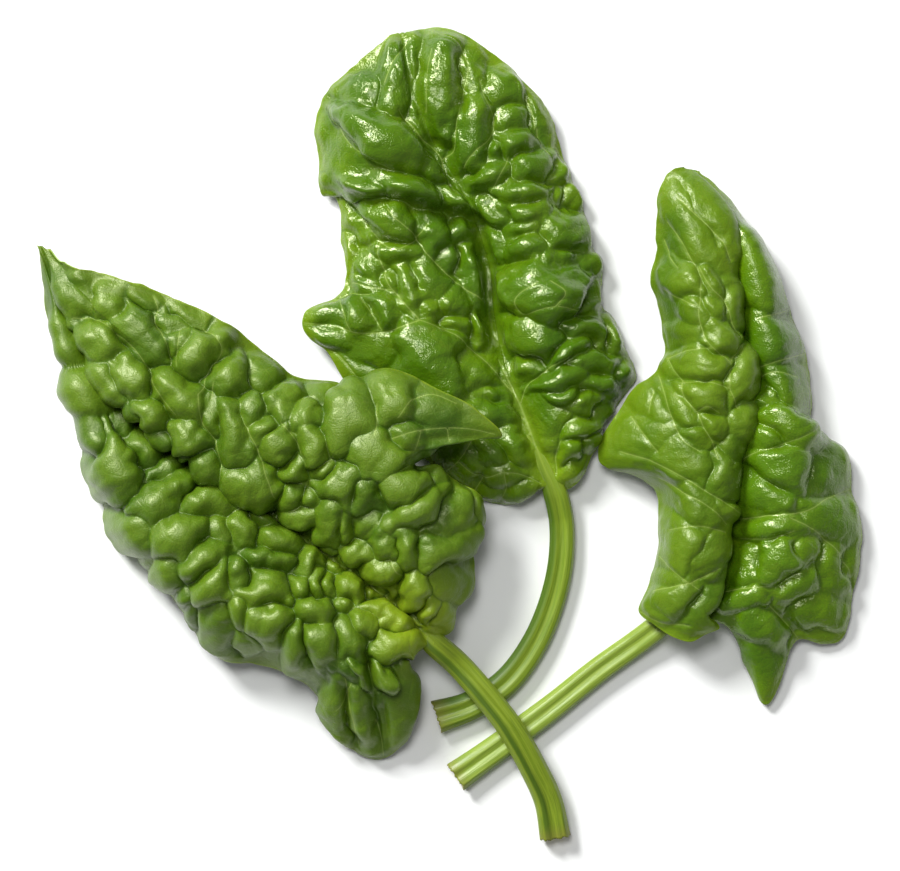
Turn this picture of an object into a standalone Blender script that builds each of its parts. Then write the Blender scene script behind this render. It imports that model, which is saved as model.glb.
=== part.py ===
"""A bunch of three savoy spinach leaves lying on a table: each is a quilted blade on a cut, grooved stalk.

The left leaf lies on top, its stalk crossing the other two. The right leaf is folded over along its midrib.
Lengths are in metres, +Z is up, and the origin is the middle of the bunch on the table.
"""

import math

import bmesh
import bpy
import numpy as np

MM = 0.001

# Driving sizes
BLADE_THICKNESS = 0.7 * MM
LOWEST_BLADE = 0.75 * MM      # the blades' upper faces never come nearer the table than this
SEAT_GAP = 0.6 * MM           # the clear gap between a blade and the rib below it
STALK_HALF_WIDTH = 3.5 * MM
STALK_HALF_HEIGHT = 2.7 * MM
STALK_GROOVE = 0.9 * MM
STALK_SIDES = 12
RIM_FADE = 4.0 * MM           # the quilting calms down over this width of rim
RIM_SHARE = 0.4               # what is left of the quilting at the rim itself
PUFF_POWER = 0.65             # below 1 makes a cell rise steeply from its crease
PUFF_WIDTH = 0.55             # share of a cell over which it rises to its crown
FINER = 3                     # the relief is worked out this many times finer than the blade's own grid
LEDGE_RISE = 1.5 * MM         # how far across a fold's edge the step up is
RUFFLE_PITCH = 17.0 * MM      # length of one wave of the ruffled rims

# The quilting is laid out on a plan seen from 1 m above, in steps of 0.25 mm from its top left corner.
PLAN_STEP = 0.25 * MM
PLAN_CENTRE = (448.5, 434.5)
EYE_HEIGHT = 1.0

# A guide is a line along the leaf, at its place across it: how far along it is from base (0) to tip (1), then
# where it shows on the plan, to the right and down, and its height in mm.
LEFT_GUIDES = {
    -1: [  # left rim
        (0, 430, 648, 12.3), (0.06, 404, 664, 9), (0.12, 415, 700, 6), (0.18, 405, 740, 3.5),
        (0.24, 375, 756, 0.2), (0.3, 340, 737, 3), (0.36, 326, 702, 6), (0.44, 282, 675, 7), (0.52, 232, 656, 7),
        (0.6, 196, 630, 5), (0.68, 155, 578, 2.5), (0.76, 118, 525, 0.2), (0.83, 92, 470, 0.2),
        (0.89, 74, 405, 2), (0.94, 60, 340, 7), (0.98, 40, 286, 10), (1, 38, 246, 12),
    ],
    -0.5: [  # crown of the left half
        (0, 432, 646, 12.4), (0.1, 400, 642, 17), (0.22, 365, 658, 18), (0.35, 305, 634, 20),
        (0.48, 243, 602, 21), (0.6, 188, 562, 21), (0.72, 138, 510, 19), (0.84, 98, 440, 16.5),
        (0.93, 66, 352, 13.5), (1, 39, 246, 12),
    ],
    -0.1: [  # foot of the left half's slope
        (0, 433, 645, 12.4), (0.1, 403, 618, 13), (0.22, 366, 593, 14), (0.35, 321, 562, 14.5),
        (0.48, 272, 525, 14.5), (0.6, 218, 490, 14), (0.72, 170, 455, 12.5), (0.84, 118, 400, 11),
        (0.93, 76, 335, 11), (1, 40, 246, 12),
    ],
    0: [  # midrib
        (0, 434, 644, 12.5), (0.1, 405, 614, 12.5), (0.22, 370, 586, 13), (0.35, 326, 555, 13.5),
        (0.48, 278, 517, 13.5), (0.6, 228, 482, 12.5), (0.72, 182, 444, 10.5), (0.84, 130, 394, 9),
        (0.93, 84, 330, 10), (1, 41, 246, 12),
    ],
    0.12: [  # brow of the right half, which hangs over the midrib towards the tip
        (0, 435, 643, 12.5), (0.1, 408, 608, 14), (0.22, 377, 577, 16), (0.35, 334, 543, 17),
        (0.48, 282, 508, 17.5), (0.6, 223, 480, 18), (0.72, 168, 444, 18), (0.84, 116, 392, 16.5),
        (0.93, 74, 326, 14), (1, 42, 246, 12),
    ],
    0.5: [  # crown of the right half
        (0, 438, 641, 12.3), (0.1, 430, 600, 18), (0.22, 420, 545, 22), (0.35, 395, 480, 25),
        (0.48, 335, 440, 25), (0.6, 270, 425, 23), (0.72, 205, 385, 21), (0.84, 145, 345, 19),
        (0.93, 90, 298, 16), (1, 44, 247, 12),
    ],
    1: [  # right rim, with the lip that hangs over the middle leaf
        (0, 440, 640, 12), (0.03, 454, 630, 11), (0.05, 458, 612, 10), (0.08, 470, 598, 9), (0.12, 476, 570, 8),
        (0.16, 475, 543, 9), (0.2, 484, 515, 11), (0.235, 479, 496, 13), (0.27, 458, 484, 14),
        (0.3, 436, 472, 14), (0.325, 417, 463, 15), (0.35, 433, 449, 17), (0.375, 468, 438, 19),
        (0.395, 501, 436, 20), (0.42, 476, 410, 21.5), (0.46, 434, 388, 22), (0.5, 398, 374, 20),
        (0.53, 374, 375, 18), (0.555, 352, 390, 15), (0.575, 339, 383, 13.5), (0.6, 318, 379, 13),
        (0.635, 294, 373, 14), (0.68, 264, 350, 15), (0.735, 229, 325, 17), (0.79, 194, 307, 18),
        (0.85, 155, 291, 18), (0.91, 98, 272, 17), (0.96, 62, 261, 15), (1, 46, 248, 12),
    ],
}

MIDDLE_GUIDES = {
    -1: [  # left rim, with the side lobe and the base lobe
        (0, 547, 489, 6.4), (0.05, 533, 493, 3), (0.1, 508, 505, 1.5), (0.16, 478, 498, 1.5), (0.22, 440, 470, 2),
        (0.28, 395, 430, 4), (0.33, 350, 385, 5), (0.37, 328, 350, 5), (0.41, 305, 330, 5),
        (0.435, 304, 315, 5), (0.47, 325, 304, 5), (0.51, 341, 292, 5), (0.56, 347, 270, 4), (0.61, 343, 240, 3),
        (0.655, 341, 208, 2.2), (0.68, 334, 194, 2), (0.7, 322, 194, 2), (0.74, 321, 160, 1.2),
        (0.79, 320, 122, 1.2), (0.84, 330, 89, 2), (0.9, 352, 68, 3.5), (0.95, 374, 48, 5), (1, 398, 33, 5),
    ],
    -0.5: [  # crown of the left half
        (0, 551, 490, 6.4), (0.12, 520, 475, 8), (0.25, 470, 430, 10), (0.38, 420, 355, 11), (0.5, 410, 300, 11),
        (0.6, 405, 245, 10), (0.7, 395, 190, 12), (0.8, 375, 135, 12), (0.9, 382, 80, 9), (1, 400, 34, 5),
    ],
    0: [  # midrib
        (0, 556, 492, 6.4), (0.1, 538, 452, 6.4), (0.2, 520, 405, 6), (0.32, 503, 358, 6), (0.44, 493, 310, 5.5),
        (0.55, 488, 262, 5), (0.65, 470, 207, 5), (0.75, 446, 165, 6), (0.85, 424, 122, 8), (0.93, 410, 80, 8),
        (1, 402, 33, 5),
    ],
    0.5: [  # crown of the right half
        (0, 561, 491, 6.4), (0.12, 572, 440, 9), (0.25, 565, 385, 11), (0.38, 555, 325, 12.5),
        (0.5, 545, 270, 12), (0.6, 532, 215, 11), (0.7, 512, 165, 10), (0.8, 488, 115, 9), (0.9, 455, 70, 8),
        (1, 404, 34, 5),
    ],
    1: [  # right rim
        (0, 566, 490, 6.4), (0.05, 577, 480, 4), (0.09, 588, 463, 3.5), (0.13, 602, 440, 2.5),
        (0.16, 607, 424, 2), (0.19, 622, 405, 1.5), (0.22, 637, 382, 1.5), (0.25, 634, 364, 1.5),
        (0.29, 622, 346, 1.5), (0.33, 614, 328, 1.5), (0.36, 610, 314, 1.5), (0.39, 600, 302, 1.5),
        (0.43, 598, 280, 1.5), (0.47, 599, 262, 1.5), (0.51, 588, 246, 1.5), (0.55, 584, 222, 1.5),
        (0.59, 584, 202, 1.5), (0.63, 573, 184, 1.5), (0.68, 565, 158, 2), (0.74, 554, 125, 3),
        (0.8, 540, 100, 4), (0.86, 512, 72, 4), (0.92, 478, 44, 5), (0.96, 440, 29, 5), (1, 406, 32, 5),
    ],
}

RIGHT_GUIDES = {
    -1: [  # left rim, from the base lobe that hangs over the stalk
        (0, 652, 626, 7), (0.025, 700, 618, 9), (0.05, 719, 628, 11), (0.075, 703, 636, 11.5),
        (0.1, 690, 641, 11.5), (0.125, 672, 635, 11), (0.15, 655, 624, 10), (0.175, 638, 612, 8),
        (0.21, 648, 580, 6.5), (0.25, 658, 545, 6), (0.3, 658, 512, 6), (0.335, 653, 487, 6.5),
        (0.36, 633, 474, 6.5), (0.39, 606, 467, 6), (0.42, 597, 457, 6), (0.45, 600, 438, 6),
        (0.49, 614, 414, 7), (0.53, 636, 388, 8), (0.57, 658, 368, 8), (0.61, 664, 345, 7), (0.66, 657, 310, 7),
        (0.71, 651, 280, 7), (0.76, 658, 256, 7.5), (0.81, 656, 232, 8), (0.88, 657, 200, 9),
        (0.94, 668, 180, 9.5), (1, 688, 170, 8.6),
    ],
    -0.6: [  # crown of the left half
        (0, 653, 627, 7), (0.05, 700, 618, 13), (0.12, 688, 600, 15), (0.2, 688, 568, 17), (0.3, 694, 510, 18),
        (0.4, 684, 462, 18), (0.5, 692, 420, 18.5), (0.6, 706, 372, 18.5), (0.7, 700, 318, 18),
        (0.8, 698, 262, 17), (0.9, 692, 212, 15), (1, 690, 171, 8.6),
    ],
    -0.18: [  # brow of the left half, which hangs over the midrib
        (0, 655, 628, 6.8), (0.05, 700, 610, 11), (0.1, 717, 595, 12), (0.2, 729, 550, 12), (0.3, 734, 500, 12),
        (0.4, 737, 458, 12), (0.48, 749, 425, 12), (0.55, 754, 390, 12), (0.61, 750, 362, 12),
        (0.68, 741, 325, 12), (0.76, 739, 285, 12), (0.84, 739, 250, 12), (0.92, 728, 212, 11.5),
        (1, 692, 172, 8.4),
    ],
    0: [  # midrib, hidden below the brow
        (0, 656, 629, 6.6), (0.1, 692, 598, 6.8), (0.2, 714, 558, 6), (0.3, 722, 512, 5.4), (0.42, 727, 462, 5),
        (0.52, 738, 415, 4.8), (0.6, 742, 375, 4.6), (0.7, 735, 325, 4.6), (0.8, 731, 278, 5),
        (0.9, 720, 225, 6.4), (1, 693, 173, 8.2),
    ],
    0.14: [  # foot of the right half's slope
        (0, 657, 630, 6.6), (0.1, 702, 604, 6.8), (0.2, 728, 565, 6.2), (0.3, 738, 517, 6), (0.42, 742, 465, 6),
        (0.52, 754, 417, 6), (0.6, 757, 376, 5.8), (0.7, 749, 322, 5.8), (0.8, 743, 270, 6),
        (0.9, 729, 215, 7), (1, 694, 173, 8.1),
    ],
    0.55: [  # crown of the right half
        (0, 661, 632, 6.5), (0.1, 722, 615, 9), (0.2, 765, 580, 13), (0.3, 786, 535, 14.5), (0.42, 792, 475, 15),
        (0.52, 788, 425, 14.5), (0.62, 778, 370, 13.5), (0.74, 768, 310, 13), (0.87, 750, 240, 12),
        (1, 696, 174, 8),
    ],
    1: [  # right rim, with the pointed base lobe
        (0, 665, 634, 6.4), (0.03, 700, 614, 5), (0.055, 727, 610, 4.5), (0.075, 741, 626, 3.5),
        (0.1, 746, 658, 2.5), (0.125, 757, 684, 2), (0.145, 766, 703, 1.8), (0.17, 780, 676, 2.4),
        (0.2, 790, 648, 3), (0.225, 799, 640, 3), (0.26, 822, 644, 2.4), (0.29, 843, 639, 2),
        (0.33, 851, 600, 2), (0.37, 857, 565, 2), (0.41, 858, 528, 2), (0.45, 850, 492, 2.3),
        (0.49, 847, 458, 2.8), (0.52, 834, 442, 3.2), (0.55, 815, 428, 3.4), (0.59, 811, 400, 2.8),
        (0.64, 805, 362, 1.5), (0.7, 796, 330, 0.8), (0.76, 785, 295, 0.8), (0.82, 770, 258, 1.5),
        (0.88, 748, 222, 3.5), (0.94, 724, 194, 6), (1, 697, 174, 8),
    ],
}

# A cell is one puffed bubble between veins: x, y, half length and half width on the plan, its slant in
# degrees, and its share of the leaf's full puff.
LEFT_CELLS = [
    # right half, from the tip down to the stalk
    (78, 300, 22, 12, -50, 0.5), (108, 306, 18, 12, 60, 0.7), (145, 335, 34, 19, -50, 0.85),
    (143, 303, 14, 9, -30, 0.3), (168, 322, 14, 12, 0, 0.35), (190, 315, 16, 8, -35, 0.25),
    (198, 355, 24, 17, 50, 0.9), (178, 345, 12, 8, 70, 0.5), (105, 340, 24, 11, -45, 0.8),
    (133, 378, 22, 14, -50, 0.9), (152, 415, 17, 14, -50, 0.9), (176, 396, 33, 17, -50, 1.0),
    (190, 440, 20, 15, -45, 0.9), (207, 465, 18, 11, -45, 0.8), (229, 379, 20, 17, 0, 0.9),
    (233, 432, 30, 16, -80, 0.95), (250, 408, 17, 11, -80, 0.7), (262, 378, 18, 15, 0, 0.5),
    (213, 418, 20, 8, -80, 0.5), (252, 484, 27, 20, -45, 1.1), (283, 403, 20, 14, 0, 0.8),
    (265, 428, 14, 11, -75, 0.8), (278, 445, 17, 12, -75, 0.9), (308, 414, 15, 12, 0, 0.8),
    (314, 448, 20, 9, -70, 0.9), (325, 393, 16, 10, 20, 0.5), (294, 467, 15, 9, 40, 0.8),
    (325, 468, 12, 6, 0, 0.5), (348, 425, 27, 20, 60, 1.1), (372, 457, 22, 18, 30, 1.0),
    (345, 483, 22, 17, 0, 1.1), (368, 492, 18, 12, -40, 0.8), (329, 518, 22, 12, 75, 1.0),
    (289, 497, 13, 10, 0, 0.8), (309, 500, 10, 9, 0, 0.6), (298, 515, 20, 8, -10, 0.8),
    (348, 528, 17, 8, -80, 0.8), (368, 525, 12, 9, 0, 0.5), (402, 492, 24, 13, 10, 0.9),
    (415, 510, 27, 10, 35, 0.9), (433, 472, 15, 11, 60, 0.9), (395, 402, 22, 18, 60, 0.9),
    (428, 402, 18, 16, 70, 0.3), (402, 435, 12, 9, 0, 0.5), (357, 548, 14, 10, -10, 0.9),
    (384, 545, 12, 10, 0, 0.8), (385, 569, 16, 11, 0, 0.9), (405, 548, 16, 11, -80, 0.9),
    (443, 547, 28, 11, 30, 0.9), (412, 588, 20, 10, -75, 0.9), (425, 608, 11, 9, 0, 0.6),
    (458, 510, 24, 10, 60, 0.6), (474, 500, 18, 7, -75, 0.4), (448, 585, 18, 12, 0, 0.4),
    (447, 618, 12, 9, 0, 0.4),
    # left half, curling down from the crown in overlapping rolls
    (92, 388, 28, 20, -30, 1.0), (72, 345, 20, 9, -60, 0.6), (145, 447, 20, 15, 0, 0.8),
    (115, 465, 30, 20, -70, 1.0), (92, 440, 20, 8, -60, 0.6), (128, 420, 20, 10, 30, 0.7),
    (172, 464, 20, 9, 25, 0.8), (168, 497, 38, 18, 35, 1.1), (133, 530, 28, 12, -45, 0.9),
    (208, 504, 30, 17, -5, 1.1), (178, 537, 27, 18, 15, 1.1), (168, 573, 16, 13, 0, 0.8),
    (148, 562, 14, 8, -50, 0.5), (243, 530, 19, 11, -60, 0.9), (220, 530, 13, 9, 60, 0.7),
    (260, 520, 15, 8, -10, 0.7), (280, 539, 27, 11, -10, 0.9), (203, 560, 20, 13, 55, 0.95),
    (213, 584, 24, 15, 20, 1.0), (238, 573, 15, 11, 60, 0.9), (268, 560, 28, 9, 2, 0.9),
    (190, 592, 12, 9, 0, 0.7), (200, 612, 12, 6, -80, 0.6), (220, 628, 24, 14, -70, 0.8),
    (243, 612, 14, 8, -80, 0.7), (244, 638, 12, 9, 0, 0.6), (266, 592, 22, 18, 0, 1.0),
    (272, 620, 20, 16, -60, 1.0), (308, 560, 19, 12, 30, 0.9), (299, 585, 14, 9, -60, 0.8),
    (316, 587, 13, 7, -70, 0.7), (314, 611, 20, 14, -20, 1.0), (318, 638, 22, 15, -60, 0.9),
    (295, 641, 21, 13, -75, 0.8), (345, 640, 22, 13, -50, 0.7), (345, 668, 18, 7, -20, 0.5),
    (352, 590, 20, 13, -35, 1.0), (333, 567, 10, 8, 0, 0.7), (329, 588, 11, 6, -60, 0.6),
    (373, 596, 9, 6, 0, 0.5), (388, 614, 22, 12, -15, 0.9), (364, 626, 12, 10, 0, 0.7),
    (344, 610, 10, 7, 0, 0.5), (396, 647, 20, 12, 20, 0.6), (345, 715, 25, 8, -75, 0.5),
    (368, 722, 25, 8, -70, 0.5), (396, 712, 35, 12, 80, 0.5),
]

MIDDLE_CELLS = [
    # the rounded end, down to the fold across the left half
    (400, 68, 32, 13, 70, 0.9), (424, 85, 42, 10, 85, 0.9), (447, 95, 42, 15, 85, 1.1),
    (472, 135, 42, 14, 80, 1.0), (385, 140, 52, 20, -40, 1.2), (360, 90, 20, 10, 0, 0.4),
    (340, 150, 30, 14, -60, 0.4), (470, 72, 20, 7, -80, 0.5), (502, 92, 20, 15, -10, 0.8),
    (516, 116, 15, 12, 0, 0.6), (533, 108, 26, 8, -70, 0.5), (515, 145, 21, 12, 20, 0.9),
    (498, 150, 10, 9, 0, 0.6), (528, 166, 18, 14, 0, 0.9), (487, 176, 24, 9, 20, 0.9),
    (524, 191, 24, 9, -8, 0.9), (558, 176, 12, 9, -60, 0.8), (571, 196, 13, 8, -30, 0.8),
    (556, 198, 10, 6, 60, 0.5), (360, 185, 28, 8, -8, 0.8), (410, 193, 30, 9, -18, 1.0),
    (455, 207, 25, 8, -25, 1.0),
    # right half
    (497, 217, 18, 12, 0, 0.8), (528, 212, 16, 9, 0, 0.8), (494, 243, 16, 12, -60, 0.7),
    (528, 248, 17, 11, 20, 0.9), (522, 228, 14, 6, 20, 0.6), (567, 235, 26, 18, 70, 1.1),
    (562, 256, 14, 9, 20, 0.7), (589, 264, 13, 10, -40, 0.9), (592, 302, 17, 12, 60, 0.9),
    (540, 297, 36, 24, -5, 1.4), (530, 335, 26, 22, -60, 1.1), (527, 362, 16, 14, 0, 0.7),
    (585, 330, 22, 13, -20, 1.0), (609, 336, 16, 11, -60, 0.9), (568, 352, 20, 8, 35, 0.8),
    (592, 364, 22, 9, -5, 0.9), (622, 374, 12, 10, -30, 0.8), (598, 385, 18, 9, -5, 0.9),
    (556, 382, 22, 9, 15, 0.8), (562, 396, 17, 7, 10, 0.8), (585, 402, 15, 10, 10, 0.7),
    (545, 418, 24, 17, -60, 0.5), (582, 428, 22, 13, 35, 0.8), (572, 449, 12, 9, 50, 0.7),
    (594, 440, 12, 8, 50, 0.7), (570, 478, 16, 7, 60, 0.4),
    # left half, below the fold
    (388, 222, 30, 12, -42, 1.0), (353, 222, 18, 12, -30, 0.5), (347, 262, 28, 7, 88, 0.6),
    (370, 270, 15, 11, -30, 0.7), (397, 252, 17, 9, 0, 0.8), (432, 238, 20, 15, -45, 1.0),
    (458, 234, 15, 10, 0, 0.9), (450, 257, 13, 10, 0, 0.8), (470, 275, 35, 11, -75, 1.1),
    (427, 280, 16, 12, -40, 0.8), (412, 292, 22, 13, -60, 0.8), (450, 303, 15, 11, -45, 0.9),
    (455, 324, 13, 9, 0, 0.8), (432, 310, 13, 9, -50, 0.6), (476, 323, 17, 8, -85, 0.8),
    (358, 313, 17, 12, -65, 0.9), (385, 313, 20, 12, -60, 0.9), (366, 285, 16, 7, -25, 0.6),
    (392, 283, 10, 6, -60, 0.4), (328, 315, 20, 9, 0, 0.5), (332, 336, 22, 9, -15, 0.5),
    (375, 350, 22, 14, 0, 0.3), (350, 370, 18, 14, 0, 0.3), (428, 358, 34, 25, -35, 1.1),
    (475, 372, 20, 15, -30, 0.6), (490, 393, 16, 9, -10, 0.5), (493, 413, 17, 11, -20, 0.7),
    (512, 447, 15, 10, -30, 0.6), (468, 468, 17, 13, 0, 0.5), (500, 474, 17, 10, 0, 0.5),
    (487, 494, 16, 9, 10, 0.5), (515, 493, 15, 9, 20, 0.5), (492, 452, 13, 8, -20, 0.5),
]

RIGHT_OVER_CELLS = [
    (690, 230, 40, 12, -60, 0.3), (718, 215, 32, 10, -55, 0.4), (686, 284, 18, 13, -60, 0.8),
    (711, 276, 20, 8, -65, 0.5), (695, 312, 14, 10, -45, 0.5), (714, 312, 13, 9, -60, 0.6),
    (731, 305, 20, 8, -75, 0.6), (721, 338, 23, 14, -60, 0.9), (685, 333, 18, 9, 10, 0.4),
    (703, 365, 26, 16, 0, 0.9), (742, 375, 30, 13, 85, 1.0), (705, 396, 24, 13, -15, 0.9),
    (746, 422, 22, 10, 75, 0.9), (711, 422, 13, 9, -50, 0.7), (682, 412, 26, 10, -50, 0.5),
    (650, 408, 20, 9, -60, 0.4), (733, 447, 14, 9, 60, 0.6), (697, 434, 15, 9, -45, 0.5),
    (640, 440, 26, 14, 10, 0.4), (690, 462, 32, 13, -30, 0.4), (722, 475, 20, 13, -70, 0.8),
    (730, 510, 12, 8, 0, 0.7), (697, 508, 20, 12, -35, 0.4), (678, 547, 24, 16, 80, 0.7),
    (675, 600, 20, 14, 25, 0.7), (666, 575, 12, 10, 0, 0.4), (712, 555, 16, 10, 60, 0.4),
    (702, 608, 18, 11, 40, 0.4),
]

RIGHT_UNDER_CELLS = [
    (760, 283, 32, 17, -70, 0.7), (770, 337, 25, 20, -50, 0.7), (792, 387, 28, 12, -60, 0.4),
    (765, 400, 14, 9, 20, 0.5), (790, 425, 28, 17, -30, 0.8), (766, 438, 17, 13, -10, 0.9),
    (783, 468, 28, 20, -20, 1.1), (762, 493, 23, 20, 0, 1.0), (828, 472, 25, 16, 35, 0.6),
    (832, 520, 24, 18, -30, 0.8), (770, 528, 25, 9, 3, 0.9), (782, 555, 27, 15, 60, 1.0),
    (793, 585, 30, 13, 25, 0.8), (737, 568, 20, 17, 0, 0.9), (750, 597, 25, 8, 0, 0.8),
    (832, 575, 26, 12, -75, 0.8), (822, 612, 22, 13, 0, 0.7), (849, 562, 15, 8, -80, 0.5),
    (765, 628, 22, 12, -60, 0.8), (765, 668, 22, 14, 80, 0.3), (820, 640, 25, 7, 0, 0.4),
    (805, 548, 14, 10, -60, 0.6),
]

# A ledge is the edge of a fold: the plan points of its two ends, its height in mm and how far it reaches back.
MIDDLE_LEDGES = [((322, 178), (492, 226), 2.6, 9.0)]
RIGHT_LEDGES = [((822, 436), (752, 376), 2.2, 10.0)]

# Cells and ledges come in two sets: for places across below "over", and for the rest.
# A stalk's path is its plan place and the height of its underside in mm, from the cut end up to the blade.
# A lying stalk starts a little below the table, which then cuts it flat.
LEAVES = {
    "left": {
        "guides": LEFT_GUIDES,
        "grid": (40, 32),
        "cells": (LEFT_CELLS, LEFT_CELLS),
        "ledges": ([], []),
        "puff": 3.8 * MM,
        "ruffle": 1.6 * MM,
        "over": -2,
        "stalk": [(555, 836, -0.12), (548, 800, 1.4), (532, 765, 3.7), (510, 727, 5.6), (482, 691, 6.2),
                  (455, 661, 6.5)],
    },
    "middle": {
        "guides": MIDDLE_GUIDES,
        "grid": (42, 28),
        "cells": (MIDDLE_CELLS, MIDDLE_CELLS),
        "ledges": (MIDDLE_LEDGES, MIDDLE_LEDGES),
        "puff": 3.0 * MM,
        "ruffle": 1.4 * MM,
        "over": -2,
        "stalk": [(437, 716, -0.12), (470, 705, -0.12), (505, 682, -0.12), (533, 645, -0.12), (552, 600, 0),
                  (561, 555, 0.5), (561, 520, 1.0)],
    },
    "right": {
        "guides": RIGHT_GUIDES,
        "grid": (42, 30),
        "cells": (RIGHT_OVER_CELLS, RIGHT_UNDER_CELLS),
        "ledges": ([], RIGHT_LEDGES),
        "puff": 2.6 * MM,
        "ruffle": 1.2 * MM,
        "over": -0.1,
        "stalk": [(456, 776, -0.12), (500, 745, -0.12), (550, 708, -0.12), (600, 668, 0.2), (635, 643, 0.8)],
    },
}
STALK_POINTS = 16
RIB_POINTS = 12
RIB_END = 0.9                 # how far along the blade the rib runs
RIB_SCALES = [(0, 0.86), (0.12, 0.58), (0.3, 0.4), (0.6, 0.26), (1, 0.12)]
STALK_SCALES = [(0, 1.05), (0.15, 1.0), (0.6, 0.92), (1, 0.88)]

BLADE_COLOUR = (0.075, 0.20, 0.018, 1.0)
STALK_COLOUR = (0.36, 0.48, 0.085, 1.0)


def remove_all_objects():
    """Empties the scene it is run in."""
    for thing in list(bpy.data.objects):
        bpy.data.objects.remove(thing)


def hermite(knots, values, at):
    """A smooth line through values, which stand at knots along the first axis, read at the given places."""
    spans = np.diff(knots).reshape(-1, *[1] * (values.ndim - 1))
    slopes = np.diff(values, axis=0) / spans
    tangents = np.concatenate([
        slopes[:1],
        (slopes[:-1] * spans[1:] + slopes[1:] * spans[:-1]) / (spans[1:] + spans[:-1]),
        slopes[-1:],
    ])
    i = np.clip(np.searchsorted(knots, at, side="right") - 1, 0, len(knots) - 2)
    q = ((at - knots[i]) / (knots[i + 1] - knots[i])).reshape(-1, *[1] * (values.ndim - 1))
    return (
        values[i] * (2 * q**3 - 3 * q**2 + 1)
        + spans[i] * tangents[i] * (q**3 - 2 * q**2 + q)
        + values[i + 1] * (3 * q**2 - 2 * q**3)
        + spans[i] * tangents[i + 1] * (q**3 - q**2)
    )


def from_plan(table):
    """Points in metres from rows of plan x, plan y and height in mm."""
    height = table[:, 2] * MM
    scale = PLAN_STEP * (1 - height / EYE_HEIGHT)
    return np.stack([(table[:, 0] - PLAN_CENTRE[0]) * scale, (PLAN_CENTRE[1] - table[:, 1]) * scale, height], 1)


def smooth_sheet(guides, along, across):
    """The blade before it is quilted: points [along, across] on a surface through the guides."""
    lines = []
    for guide in guides.values():
        table = np.array(guide, float)
        lines.append(hermite(table[:, 0], from_plan(table[:, 1:]), along))
    return hermite(np.array(list(guides), float), np.stack(lines), across).transpose(1, 0, 2)


def sheet_normals(points):
    """Unit normals on the upper side of a sheet of points [along, across]."""
    forward = np.gradient(points, axis=0)
    sideways = np.gradient(points, axis=1)
    normal = np.cross(sideways, forward)
    return normal / np.maximum(np.linalg.norm(normal, axis=2, keepdims=True), 1e-12)


def flat_chart(points):
    """Distances on the sheet: along the midrib from the base, and across from the midrib, left negative."""
    middle = points.shape[1] // 2
    steps = np.linalg.norm(np.diff(points[:, middle], axis=0), axis=1)
    along = np.concatenate([[0], np.cumsum(steps)])
    widths = np.linalg.norm(np.diff(points, axis=1), axis=2)
    across = np.concatenate([np.zeros((len(points), 1)), np.cumsum(widths, axis=1)], axis=1)
    across -= across[:, middle:middle + 1]
    return np.broadcast_to(along[:, None], across.shape), across


def plan_places(points):
    """Where points show on the plan: x to the right and y down, in plan steps."""
    seen = points[:, :, :2] * (EYE_HEIGHT / (EYE_HEIGHT - points[:, :, 2:])) / PLAN_STEP
    return PLAN_CENTRE[0] + seen[:, :, 0], PLAN_CENTRE[1] - seen[:, :, 1]


def quilting(cells, x, y):
    """Share of the full puff at each place: 0 in the creases between cells, about 1 on their crowns."""
    nearest = np.full(x.shape, 9.0)
    second = np.full(x.shape, 9.0)
    height = np.zeros(x.shape)
    for cell_x, cell_y, half_length, half_width, slant, share in cells:
        turn = math.radians(slant)
        right = x - cell_x
        down = y - cell_y
        lengthways = (right * math.cos(turn) - down * math.sin(turn)) / half_length
        sideways = (right * math.sin(turn) + down * math.cos(turn)) / half_width
        reach = np.hypot(lengthways, sideways)
        closer = reach < nearest
        second = np.where(closer, nearest, np.minimum(second, reach))
        height = np.where(closer, share, height)
        nearest = np.where(closer, reach, nearest)
    rise = np.clip((second - nearest) / (second + nearest) / PUFF_WIDTH, 0, 1)
    dome = (1 - (1 - rise) ** 2) ** PUFF_POWER * (1 - 0.3 * np.minimum(nearest, 1) ** 2)
    outside = np.clip((nearest - 0.9) / 0.7, 0, 1)
    return height * dome * (1 - outside**2 * (3 - 2 * outside))


def ledge_lift(ledges, x, y):
    """How much the folds lift each place: steep at a ledge's edge, and sinking away behind it."""
    lift = np.zeros(x.shape)
    for (start_x, start_y), (end_x, end_y), height, reach in ledges:
        length = math.hypot(end_x - start_x, end_y - start_y)
        run_x = (end_x - start_x) / length
        run_y = (end_y - start_y) / length
        along = ((x - start_x) * run_x + (y - start_y) * run_y) / length
        behind = ((x - start_x) * run_y - (y - start_y) * run_x) * PLAN_STEP
        ends = np.clip(np.minimum(along, 1 - along) / 0.15, 0, 1)
        step = np.clip(behind / LEDGE_RISE, 0, 1)
        fall = np.exp(-np.maximum(behind, 0) / (reach * MM))
        lift += height * MM * ends * step**2 * (3 - 2 * step) * fall
    return lift


def relief(leaf, along, across):
    """The smooth sheet, and how far its cells, folds and ruffled rim lift it along its normals."""
    sheet = smooth_sheet(leaf["guides"], along, across)
    run, reach = flat_chart(sheet)
    x, y = plan_places(sheet)
    over = across < leaf["over"]
    puff = np.where(over, quilting(leaf["cells"][0], x, y), quilting(leaf["cells"][1], x, y))
    fold = np.where(over, ledge_lift(leaf["ledges"][0], x, y), ledge_lift(leaf["ledges"][1], x, y))
    rim = np.minimum(reach - reach[:, :1], reach[:, -1:] - reach)
    calm = RIM_SHARE + (1 - RIM_SHARE) * np.clip(rim / RIM_FADE, 0, 1)
    sides = np.abs(across) ** 3
    ruffle = leaf["ruffle"] * sides * np.sin(run * math.tau / RUFFLE_PITCH + 2.0 * np.sign(across))
    return sheet, leaf["puff"] * puff * calm + fold + ruffle


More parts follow.
